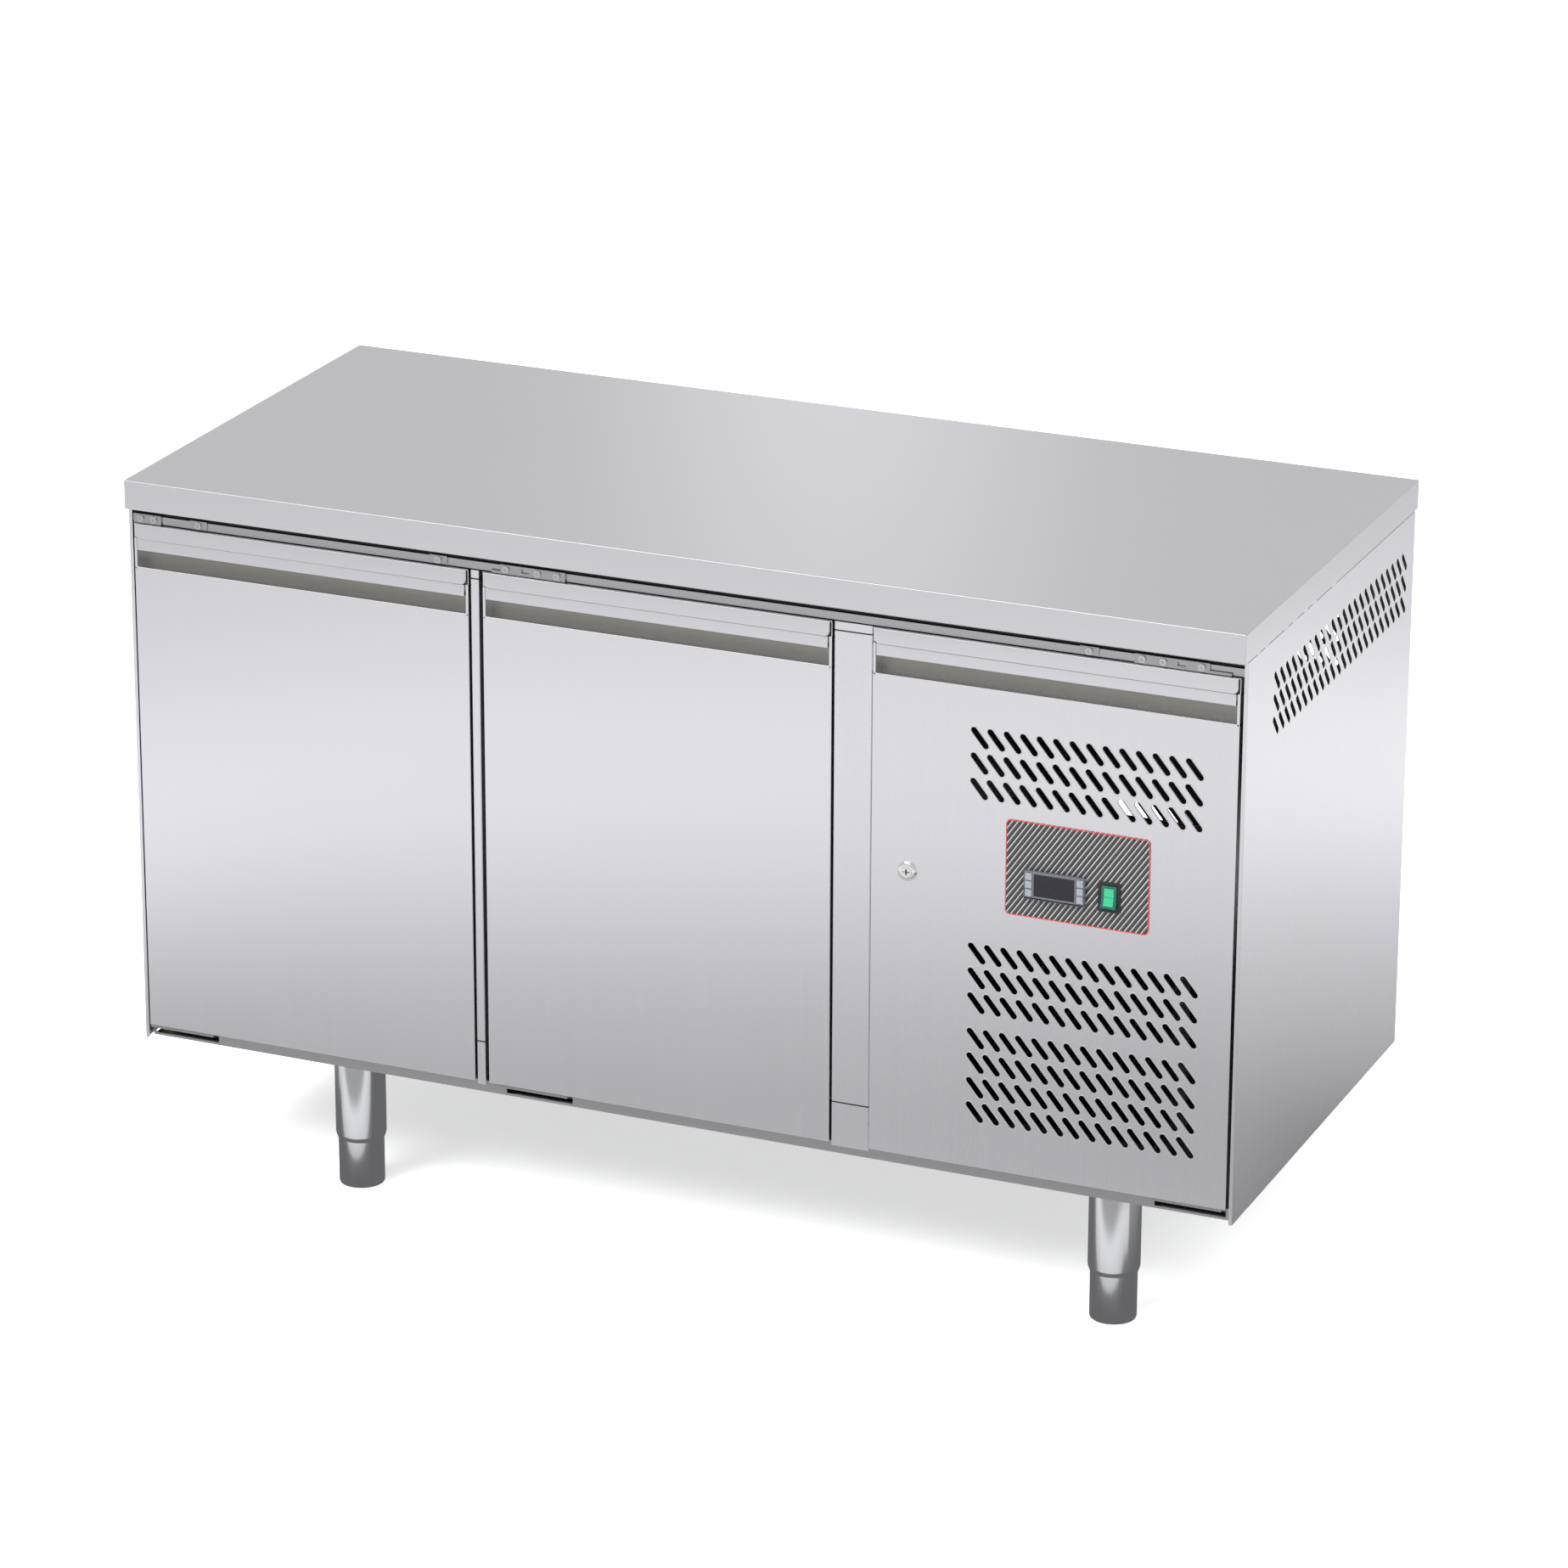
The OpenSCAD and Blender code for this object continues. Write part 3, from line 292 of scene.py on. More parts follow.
class Material:
    """A Principled material with a few shorthands for its node tree."""

    def __init__(self, name, colour, metallic, roughness, **constants):
        self.made = bpy.data.materials.new(name)
        self.made.use_nodes = True
        self.tree = self.made.node_tree
        self.shader = self.tree.nodes["Principled BSDF"]
        self.set(self.shader, "Base Color", (*colour, 1))
        self.set(self.shader, "Metallic", metallic)
        self.set(self.shader, "Roughness", roughness)
        for socket, value in constants.items():
            self.set(self.shader, socket.replace("_", " "), value)
        self.made.diffuse_color = (*colour, 1)

    def set(self, node, socket, value):
        if isinstance(value, bpy.types.NodeSocket):
            self.tree.links.new(value, node.inputs[socket])
        else:
            node.inputs[socket].default_value = value

    def node(self, kind, output=0, setup=(), **inputs):
        node = self.tree.nodes.new(kind)
        for key, value in dict(setup).items():
            setattr(node, key, value)
        for socket, value in inputs.items():
            self.set(node, int(socket[1:]) if socket[0] == "i" and socket[1:].isdigit() else socket, value)
        return node.outputs[output]

    def place(self, scale=(1, 1, 1)):
        """Object coordinates in metres, scaled."""
        where = self.node("ShaderNodeTexCoord", "Object")
        return self.node("ShaderNodeMapping", Vector=where, Scale=scale)

    def noise(self, place, scale, detail=2.0, rough=0.5):
        return self.node("ShaderNodeTexNoise", "Fac", Vector=place, Scale=scale, Detail=detail,
                         Roughness=rough)

    def math(self, operation, a, b=0.0):
        return self.node("ShaderNodeMath", setup={"operation": operation}, i0=a, i1=b)

    def span(self, value, low, high, low_in=0.0, high_in=1.0):
        return self.node("ShaderNodeMapRange", "Result", Value=value, **{
            "From Min": low_in, "From Max": high_in, "To Min": low, "To Max": high})

    def mix(self, factor, a, b):
        node = self.tree.nodes.new("ShaderNodeMix")
        node.data_type = "RGBA"
        self.set(node, 0, factor)
        for socket, value in ((6, a), (7, b)):
            self.set(node, socket, value if isinstance(value, bpy.types.NodeSocket) else (*value, 1))
        return node.outputs[2]

    def bump(self, height, strength, distance):
        normal = self.node("ShaderNodeBump", Height=height, Strength=strength, Distance=distance)
        self.set(self.shader, "Normal", normal)


def shade(colour, factor):
    return tuple(min(1.0, c * factor) for c in colour)


def brushed(name, colour, roughness, grain, tone=0.014, spread=0.05, strength=0.035):
    """Satin steel: fine lines along the grain axis, with faint wiping marks over them."""
    m = Material(name, colour, 1.0, roughness)
    fine_scale = [1400.0, 1400.0, 1400.0]
    fine_scale["XYZ".index(grain)] = 9.0
    coarse_scale = [160.0, 160.0, 160.0]
    coarse_scale["XYZ".index(grain)] = 1.6
    fine = m.noise(m.place(fine_scale), 1.0, 3.0, 0.6)
    coarse = m.noise(m.place(coarse_scale), 1.0, 2.0)
    lines = m.math("ADD", m.math("MULTIPLY", fine, 0.65), m.math("MULTIPLY", coarse, 0.35))
    wiped = m.noise(m.place(), 3.2, 4.0, 0.55)
    both = m.math("ADD", m.math("MULTIPLY", lines, 0.75), m.math("MULTIPLY", wiped, 0.25))
    level = m.span(both, 0, 1, 0.3, 0.7)
    m.set(m.shader, "Base Color", m.mix(level, shade(colour, 1 - tone), shade(colour, 1 + tone)))
    m.set(m.shader, "Roughness", m.span(both, roughness - spread / 2, roughness + spread / 2, 0.3, 0.7))
    m.bump(lines, strength, 0.00004)
    return m.made


def plain_metal(name, colour, roughness, speckle=250.0, tone=0.06):
    """Plated or cast metal with a fine mottle."""
    m = Material(name, colour, 1.0, roughness)
    spots = m.noise(m.place(), speckle, 3.0)
    m.set(m.shader, "Base Color", m.mix(spots, shade(colour, 1 - tone), shade(colour, 1 + tone)))
    m.set(m.shader, "Roughness", m.span(spots, roughness - 0.07, roughness + 0.07, 0.3, 0.7))
    m.bump(spots, 0.08, 0.00005)
    return m.made


def galvanised(name):
    """Zinc spangle: pale and dark crystals a few millimetres across."""
    m = Material(name, (0.5, 0.52, 0.54), 0.9, 0.42)
    cells = m.tree.nodes.new("ShaderNodeTexVoronoi")
    m.set(cells, "Vector", m.place())
    m.set(cells, "Scale", 110.0)
    crystal = m.node("ShaderNodeSeparateColor", 0, Color=cells.outputs["Color"])
    cloud = m.noise(m.place(), 5.0, 3.0)
    both = m.math("ADD", m.math("MULTIPLY", crystal, 0.6), m.math("MULTIPLY", cloud, 0.4))
    m.set(m.shader, "Base Color", m.mix(both, (0.40, 0.42, 0.44), (0.60, 0.62, 0.64)))
    m.set(m.shader, "Roughness", m.span(both, 0.34, 0.52))
    m.bump(crystal, 0.05, 0.00005)
    return m.made


def moulded(name, colour, roughness, grain=700.0, tone=0.12, **constants):
    """Moulded plastic or rubber with a fine spark-eroded texture."""
    m = Material(name, colour, 0.0, roughness, **constants)
    texture = m.noise(m.place(), grain, 2.0)
    cloud = m.noise(m.place(), 14.0, 3.0)
    m.set(m.shader, "Base Color", m.mix(cloud, shade(colour, 1 - tone), shade(colour, 1 + tone)))
    both = m.math("ADD", m.math("MULTIPLY", texture, 0.5), m.math("MULTIPLY", cloud, 0.5))
    m.set(m.shader, "Roughness", m.span(both, roughness - 0.06, roughness + 0.08, 0.3, 0.7))
    m.bump(texture, 0.12, 0.00008)
    return m.made


def striped_label():
    """The control plate's overlay: thin pale diagonals on charcoal."""
    m = Material("striped_label", (0.03, 0.03, 0.032), 0.0, 0.38)
    period = 5.2 * MM
    lean = math.radians(55)
    where = m.node("ShaderNodeTexCoord", "Object")
    parts = m.tree.nodes.new("ShaderNodeSeparateXYZ")
    m.set(parts, "Vector", where)
    across = m.math("SUBTRACT", m.math("MULTIPLY", parts.outputs["X"], math.sin(lean) / period),
                    m.math("MULTIPLY", parts.outputs["Z"], math.cos(lean) / period))
    phase = m.math("FRACT", across)
    off_line = m.math("ABSOLUTE", m.math("SUBTRACT", phase, 0.5))
    line = m.span(off_line, 1.0, 0.0, 0.07, 0.13)
    line = m.math("MINIMUM", m.math("MAXIMUM", line, 0.0), 1.0)
    band = m.span(m.math("ABSOLUTE", m.math("SUBTRACT", phase, 0.12)), 1.0, 0.0, 0.06, 0.12)
    band = m.math("MINIMUM", m.math("MAXIMUM", band, 0.0), 1.0)
    base = m.mix(band, (0.040, 0.040, 0.042), (0.012, 0.012, 0.013))
    worn = m.noise(m.place(), 60.0, 3.0)
    pale = m.mix(worn, (0.27, 0.27, 0.27), (0.38, 0.38, 0.375))
    m.set(m.shader, "Base Color", m.mix(line, base, pale))
    m.set(m.shader, "Roughness", m.span(worn, 0.33, 0.47, 0.3, 0.7))
    m.bump(m.noise(m.place(), 900.0, 2.0), 0.05, 0.00005)
    return m.made


STEEL = (0.872, 0.862, 0.903)
MATERIALS = {
    "top": brushed("worktop_steel", (0.80, 0.80, 0.833), 0.30, "X"),
    "door": brushed("door_steel", STEEL, 0.24, "Z"),
    "body": brushed("body_steel", STEEL, 0.27, "Z"),
    # Darkened steel for the top and bottom rails: painted shade for their set-back places under the worktop
    # and the doors.
    "rail": brushed("rail_painted_shade", (0.50, 0.498, 0.518), 0.28, "X"),
    "handle": brushed("handle_steel", (0.80, 0.793, 0.830), 0.24, "X"),
    "side": brushed("side_steel", STEEL, 0.27, "Z"),
    # Darker steel for the finger recesses: painted shade, standing in for the shadow under the lip.
    "recess": brushed("recess_painted_shade", (0.31, 0.30, 0.27), 0.36, "X"),
    # Near-black sheet lining the machine compartment: painted shade for its dark inside, seen through the
    # vent slots.
    "lining": plain_metal("lining_painted_shade", (0.10, 0.10, 0.105), 0.5),
    "liner": brushed("liner_steel", (0.78, 0.785, 0.79), 0.34, "Z", tone=0.03),
    "leg": brushed("leg_steel", (0.74, 0.745, 0.77), 0.17, "Z", tone=0.06, spread=0.08),
    "galvanised": galvanised("galvanised_sheet"),
    "bracket": plain_metal("plated_bracket", (0.46, 0.465, 0.475), 0.30, tone=0.02),
    "screw": plain_metal("plated_screw", (0.64, 0.645, 0.66), 0.22, tone=0.02),
    "chrome": plain_metal("lock_chrome", (0.88, 0.88, 0.88), 0.10, tone=0.03),
    "copper": plain_metal("bare_copper", (0.80, 0.42, 0.26), 0.32, 60.0, 0.15),
    "fins": plain_metal("bare_fins", (0.80, 0.82, 0.84), 0.35),
    "dark_fins": plain_metal("painted_fins", (0.06, 0.06, 0.065), 0.5),
    "foam": moulded("foam_skin", (0.80, 0.72, 0.48), 0.8, 300.0),
    "board": moulded("board_core", (0.45, 0.32, 0.20), 0.8, 200.0),
    "black": moulded("black_plastic", (0.012, 0.012, 0.013), 0.42),
    "dark": moulded("joint_shadow", (0.010, 0.010, 0.011), 0.8),
    "paint": moulded("compressor_paint", (0.014, 0.014, 0.015), 0.34, 90.0),
    "rubber": moulded("seal_rubber", (0.16, 0.165, 0.17), 0.55),
    "nylon": moulded("nylon", (0.80, 0.80, 0.77), 0.5),
    "wire": moulded("coated_wire", (0.72, 0.73, 0.74), 0.32),
    "key": moulded("key_plastic", (0.20, 0.21, 0.235), 0.40, 900.0),
    "bezel": moulded("bezel_plastic", (0.085, 0.09, 0.105), 0.36, 900.0),
    "display": moulded("display_glass", (0.008, 0.008, 0.011), 0.10, 500.0),
    "label": striped_label(),
    "red": moulded("red_border", (0.42, 0.035, 0.03), 0.42, 900.0),
    "rocker": moulded("rocker_body", (0.006, 0.070, 0.055), 0.24, 500.0, Coat_Weight=0.3),
    "lens": moulded("rocker_lens", (0.020, 0.300, 0.140), 0.22, 500.0, Coat_Weight=0.3),
    "pale": moulded("pale_floor", (0.90, 0.90, 0.90), 0.9, 40.0, 0.01, Emission_Strength=0.5,
                    Emission_Color=(1.0, 1.0, 1.0, 1.0)),
}


def dress(material, *nodes):
    """Gives carried-over CAD nodes a material."""
    for name in nodes:
        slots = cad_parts[name].data.materials
        slots.clear()
        slots.append(MATERIALS[material])


# ---------- worktop and cabinet ----------

def worktop():
    low, high = WORKTOP
    piece = Piece("worktop")
    piece.box(low, high, 1.6 * MM, 4)
    piece.finish(MATERIALS["top"], "root", ["worktop_skin"], "stainless_top")


def side_panel(name, node, side, vented):
    """A side sheet, its front and bottom edges folded in. side is 1 for the right, -1 for the left."""
    low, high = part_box(node)
    outer = high.x if side > 0 else low.x
    inside = outer - side * SHEET
    top = high.z + 0.4 * MM
    outline = [(low.y, low.z), (high.y, low.z), (high.y, top), (low.y, top)]
    first_y, first_z = FACE + 90 * MM, WORKTOP[1].z - 74 * MM
    columns, rows = 24, 3
    holes = slot_rows(first_y, first_z, columns, rows, SIDE_COLUMN_PITCH, SIDE_ROW_PITCH) if vented else []
    piece = Piece(name)
    piece.plate(outline, holes, SHEET, 0.4 * MM, Matrix.Translation((min(outer, inside), 0, 0)) @ RIGHT_ON)
    front_fold = (4.5 * MM, low.y, low.y + 1.6 * MM, high.z, 0.7 * MM)
    bottom_fold = (20 * MM, low.y + 52 * MM, high.y, low.z + SHEET, 0.3 * MM)
    for reach, y_0, y_1, z_1, r in (front_fold, bottom_fold):
        edge = outer - side * reach
        piece.box((min(outer, edge), y_0, low.z), (max(outer, edge), y_1, z_1), r)
    piece.finish(MATERIALS["side"], "root", [node], "stainless_body")


def rear_grille():
    low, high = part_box("rear_grille")
    outline = [(low.x, low.z), (high.x, low.z), (high.x, high.z), (low.x, high.z)]
    columns = 14
    upper_rows, upper_z = 4, WORKTOP[1].z - 122 * MM
    lower_rows, lower_z = 6, low.z + 253.2 * MM
    fields = [(low.x + 80 * MM, upper_z, columns, upper_rows, COLUMN_PITCH, ROW_PITCH),
              (low.x + 80 * MM, lower_z, columns, lower_rows, COLUMN_PITCH, ROW_PITCH)]
    holes = [loop for field in fields for loop in slot_rows(*field)]
    piece = Piece("rear_vent_sheet")
    piece.plate(outline, holes, SHEET, 0.4 * MM, Matrix.Translation((0, high.y, 0)) @ FRONT_ON)
    piece.finish(MATERIALS["galvanised"], "root", ["rear_grille"], "galvanised")


def compartment_lining():
    """Thin sheet over the foam and the board where they face the machine compartment; its near-black colour
    is painted shade for the dark inside seen through the vent slots.
    """
    partition_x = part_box("cabinet_foam")[1].x
    back_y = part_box("rear_grille")[0].y
    low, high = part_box("right_side_panel")
    seal_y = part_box("cabinet_foam")[0].y
    piece = Piece("compartment_lining")
    piece.box((partition_x, seal_y, low.z + 2 * MM), (partition_x + 0.6 * MM, back_y, high.z), 0.2 * MM)
    piece.box((partition_x, seal_y, high.z), (high.x - 12 * MM, back_y, high.z + 0.8 * MM), 0.2 * MM)
    piece.finish(MATERIALS["lining"], "root", slot="galvanised")


def worktop_seal_and_shadow():
    """The near-black strip between the rail and the worktop: a seal, and its black is also painted shade
    for the shadow under the worktop's overhang.
    """
    low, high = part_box("top_rail")
    worktop_underside = WORKTOP[1].z - 35.5 * MM
    height, front, back = 7.4 * MM, 3 * MM, 10.6 * MM
    piece = Piece("worktop_seal_and_shadow")
    piece.box((low.x + 1 * MM, low.y + front, worktop_underside - height),
              (high.x - 1 * MM, low.y + back, worktop_underside), 0.8 * MM)
    piece.finish(MATERIALS["dark"], "root", slot="black_plastic")


def folded_post(name, node, window=None):
    """A U-shaped post in three lengths. The window in its right side takes the lock's cam."""
    low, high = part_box(node)
    t = RAIL_GAUGE
    end = window[0].y if window else high.y
    path = [(low.x + t / 2, high.y), (low.x + t / 2, low.y + t / 2), (high.x - t / 2, low.y + t / 2),
            (high.x - t / 2, end)]
    low_joint = PANEL[0].z + 49 * MM
    high_joint = PANEL_TOP - 11 * MM
    gap = 1.6 * MM
    piece = Piece(name)
    for z_0, z_1 in ((low.z, low_joint), (low_joint + gap, high_joint), (high_joint + gap, high.z)):
        piece.bent(path, t, 1.4 * MM, z_0, z_1, Matrix.Identity(4))
    if window:
        for y_0, z_0, z_1 in ((end, low.z, window[0].z), (end, window[1].z, high.z),
                              (window[1].y, window[0].z, window[1].z)):
            piece.box((high.x - t, y_0, z_0), (high.x, high.y, z_1))
    piece.finish(MATERIALS["body"], "root", [node], "stainless_body")
    shadow = Piece(name + "_joint")
    for z in (low_joint, high_joint):
        shadow.box((low.x + t, low.y + t, z - 2 * MM), (high.x - t, low.y + t + 2 * MM, z + gap + 2 * MM))
    shadow.finish(MATERIALS["dark"], "root", slot="black_plastic")


def legs():
    for k in range(1, 5):
        node = "leg_insert_%d" % k
        low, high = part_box(node)
        r = (high.x - low.x) / 2
        centre = Vector(((low.x + high.x) / 2, (low.y + high.y) / 2, 0))
        edge = 4 * MM
        profile = [(0, 0), (r - edge, 0)]
        profile += [(r - edge + edge * math.sin(math.radians(a)), edge - edge * math.cos(math.radians(a)))
                    for a in range(0, 91, 15)]
        profile += [(r, high.z - 1 * MM), (r - 1 * MM, high.z), (0, high.z)]
        Piece("levelling_foot_%d" % k).lathe(profile, centre).finish(
            MATERIALS["leg"], "foot_%d" % k, [node], "leg_steel", sharp=30)
    low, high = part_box("leg_tubes")
    piece = Piece("leg_sleeves")
    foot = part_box("leg_insert_1")
    feet = [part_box("leg_insert_%d" % k) for k in range(1, 5)]
    spots = [((a.x + b.x) / 2, (a.y + b.y) / 2) for a, b in feet]
    r = (high.y - max(y for x, y in spots))
    inner = (foot[1].x - foot[0].x) / 2 + 0.05 * MM
    profile = [(inner, high.z - 2 * MM), (inner, low.z + 0.6 * MM), (inner + 0.6 * MM, low.z),
               (r - 2.2 * MM, low.z), (r - 1.7 * MM, low.z + 0.4 * MM), (r - 0.35 * MM, low.z + 4.6 * MM),
               (r, low.z + 6.5 * MM), (r, high.z), (inner, high.z), (inner, high.z - 2 * MM)]
    for x, y in spots:
        piece.lathe(profile, (x, y, 0))
    piece.finish(MATERIALS["leg"], "root", ["leg_tubes"], "leg_steel", sharp=30)


# ---------- hinged leaves ----------

def handle(name, node, body, low, high):
    """Cap over the top edge, lip under it and in front of the finger recess."""
    face, top = low.y, PANEL_TOP
    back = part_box(node)[1].y
    t = CAP_GAUGE
    x_0, x_1 = low.x + CAP_SETBACK, high.x - CAP_SETBACK
    corner = 6 * MM
    steps = 6
    outline = [(x_1, LIP_TOP + corner), (x_1, top), (x_0, top), (x_0, LIP_TOP + corner)]
    outline += [(x_0 + corner - corner * math.cos(a), LIP_TOP + corner - corner * math.sin(a))
                for a in (math.pi / 2 * k / steps for k in range(1, steps + 1))]
    outline += [(x_1 - corner + corner * math.sin(a), LIP_TOP + corner - corner * math.cos(a))
                for a in (math.pi / 2 * k / steps for k in range(steps))]
    piece = Piece(name)
    piece.plate(outline, [], CAP_PROUD + t, 0.9 * MM, Matrix.Translation((0, face + t, 0)) @ FRONT_ON)
    piece.box((low.x, face, top - t), (high.x, back, top), 0.5 * MM)
    lip_y = face - LIP_PROUD + t / 2
    path = [(face + 6 * MM, LIP_TOP - 0.9 * MM), (lip_y, LIP_TOP - 0.9 * MM), (lip_y, RECESS_TOP + t / 2),
            (face + 3.2 * MM, RECESS_TOP + t / 2), (face + 3.2 * MM, RECESS_TOP + 6 * MM)]
    piece.bent(path, t, 0.9 * MM, low.x + LIP_SETBACK, high.x - LIP_SETBACK, RIGHT_ON)
    piece.finish(MATERIALS["handle"], body, [node], "stainless_door")


def leaf_back(piece, low, high, depth):
    """Everything of a leaf's skin that stands behind its face: recess wall, cheeks, upper sides."""
    for x_0, x_1 in ((low.x, low.x + CHEEK), (high.x - CHEEK, high.x)):
        piece.box((x_0, low.y, RECESS_BOTTOM - 3 * MM),
                  (x_1, low.y + RECESS_DEPTH + SHEET, LIP_TOP), 0.9 * MM)
    for x in (low.x, high.x - SHEET):
        piece.box((x, low.y + CAP_GAUGE, LIP_TOP - 3 * MM),
                  (x + SHEET, low.y + depth, PANEL_TOP - CAP_GAUGE), 0.3 * MM)
        piece.box((x, low.y + RECESS_DEPTH, RECESS_BOTTOM - 3 * MM),
                  (x + SHEET, low.y + depth, LIP_TOP), 0.3 * MM)


def recess(name, body, low, high):
    """The finger recess: its back wall and floor, in a darker steel colour that is painted shade for the
    shadow under the lip.
    """
    piece = Piece(name)
    piece.box((low.x + SHEET, low.y + RECESS_DEPTH, RECESS_BOTTOM - SHEET),
              (high.x - SHEET, low.y + RECESS_DEPTH + SHEET, PANEL_TOP - CAP_GAUGE))
    piece.finish(MATERIALS["recess"], body, slot="stainless_door")


def door(body):
    low, high = DOORS[body]
    depth = high.y - low.y
    piece = Piece(body + "_face")
    piece.box(low, (high.x, high.y - SHEET, RECESS_BOTTOM), 0.9 * MM, 4)
    piece.box((low.x + SHEET, low.y + RECESS_DEPTH + SHEET, RECESS_BOTTOM - 4 * MM),
              (high.x - SHEET, high.y - SHEET, PANEL_TOP - CAP_GAUGE))
    leaf_back(piece, low, high, depth)
    piece.finish(MATERIALS["door"], body, [body + "_skin"], "stainless_door")
    recess(body + "_recess", body, low, high)
    handle(body + "_grip", body + "_handle", body, low, high)
    seal(body)


def seal(body):
    """A bellows seal: a wide foot, two soft folds and a magnet strip at the front."""
    low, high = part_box(body + "_gasket")
    w, d = 19 * MM, high.y - low.y
    steps = [(0.02, 0), (0, 0.10), (0.10, 0.22), (0.24, 0.30), (0.10, 0.42), (0.10, 0.52), (0.26, 0.60),
             (0.12, 0.72), (0.12, 0.95), (0.18, 1.0), (0.82, 1.0), (0.88, 0.95), (0.88, 0.72), (0.74, 0.60),
             (0.90, 0.52), (0.90, 0.42), (0.76, 0.30), (0.90, 0.22), (1.0, 0.10), (0.98, 0)]
    profile = [(u * w, low.y + v * d) for u, v in steps]
    Piece(body + "_seal").frame_sweep((low.x, low.z), (high.x, high.z), profile).finish(
        MATERIALS["rubber"], body, [body + "_gasket"], "seal_rubber", sharp=60)


def machine_panel():
    body = "machine_door"
    low, high = PANEL
    depth = high.y - low.y
    outline = [(low.x, low.z), (high.x, low.z), (high.x, RECESS_BOTTOM), (low.x, RECESS_BOTTOM)]
    columns = 14
    drops_and_rows = ((99, 3), (353, 3), (455, 4))
    fields = [(low.x + 117 * MM, PANEL_TOP - drop * MM, columns, rows, COLUMN_PITCH, ROW_PITCH)
              for drop, rows in drops_and_rows]
    holes = [loop for field in fields for loop in slot_rows(*field)]
    piece = Piece("machine_panel_face")
    thick, proud = 1.8 * MM, 0.4 * MM
    piece.plate(outline, holes, thick, 0.4 * MM, Matrix.Translation((0, low.y + thick, 0)) @ FRONT_ON)
    piece.rings(fields, 1.2 * MM, proud, Matrix.Translation((0, low.y + proud, 0)) @ FRONT_ON)
    for x in (low.x, high.x - SHEET):
        piece.box((x, low.y + 0.8 * MM, low.z), (x + SHEET, high.y, RECESS_BOTTOM), 0.3 * MM)
    piece.box((low.x, low.y + 0.8 * MM, low.z), (high.x, high.y, low.z + SHEET), 0.3 * MM)
    piece.box((low.x, low.y + 0.8 * MM, RECESS_BOTTOM - SHEET), (high.x, high.y, RECESS_BOTTOM), 0.3 * MM)
    leaf_back(piece, low, high, depth)
    piece.finish(MATERIALS["body"], body, ["machine_panel"], "stainless_body")
    recess("machine_panel_recess", body, low, high)
    handle("machine_panel_grip", "panel_handle", body, low, high)


# ---------- controls ----------

def control_plate():
    body = "machine_door"
    low, high = PLATE
    t = high.y - low.y
    place = Matrix.Translation((0, high.y, 0)) @ FRONT_ON
    outline = rounded_rectangle((low.x, low.z), (high.x, high.z), 6 * MM)
    Piece("control_label").plate(outline, [], t, 0.25 * MM, place).finish(
        MATERIALS["label"], body, ["control_plate"], "control_label")
    border = 1.3 * MM
    inner = rounded_rectangle((low.x + border, low.z + border), (high.x - border, high.z - border),
                              4.7 * MM)
    rim = 0.1 * MM
    outer = rounded_rectangle((low.x + rim, low.z + rim), (high.x - rim, high.z - rim), 5.9 * MM)
    Piece("control_border").plate(outer, [inner[::-1]], 0.5 * MM, 0.12 * MM,
                                  Matrix.Translation((0, low.y + 0.3 * MM, 0)) @ FRONT_ON).finish(
        MATERIALS["red"], body, slot="control_label")


def thermostat():
    body = "machine_door"
    low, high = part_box("thermostat_case")
    bezel_back = PLATE[0].y
    place = Matrix.Translation((0, bezel_back, 0)) @ FRONT_ON
    keys = [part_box("thermostat_key_%d" % k) for k in range(1, 7)]
    slack = 0.25 * MM
    holes = [rounded_rectangle((a.x - slack, a.z - slack), (b.x + slack, b.z + slack), 0.8 * MM)[::-1]
             for a, b in keys]
    window = ((low.x + 12 * MM, low.z + 4 * MM), (high.x - 12 * MM, high.z - 3 * MM))
    holes.append(rounded_rectangle(window[0], window[1], 1.2 * MM)[::-1])
    piece = Piece("thermostat_bezel")
    piece.plate(rounded_rectangle((low.x, low.z), (high.x, high.z), 1.6 * MM), holes,
                bezel_back - low.y, 0.8 * MM, place)
    piece.box((low.x + 3 * MM, bezel_back - 1 * MM, low.z + 3 * MM),
              (high.x - 3 * MM, high.y, high.z - 3 * MM), 1 * MM)
    piece.finish(MATERIALS["bezel"], body, ["thermostat_case"], "black_plastic")
    glass = Piece("thermostat_display")
    glass.box((window[0][0] - 0.2 * MM, low.y + 1.0 * MM, window[0][1] - 0.2 * MM),
              (window[1][0] + 0.2 * MM, low.y + 2.4 * MM, window[1][1] + 0.2 * MM), 0.4 * MM)
    glass.finish(MATERIALS["display"], body, slot="black_plastic")
    for k, (a, b) in enumerate(keys, 1):
        Piece("thermostat_button_%d" % k).box(a, b, 0.7 * MM).finish(
            MATERIALS["key"], "key_%d" % k, ["thermostat_key_%d" % k], "key_grey")


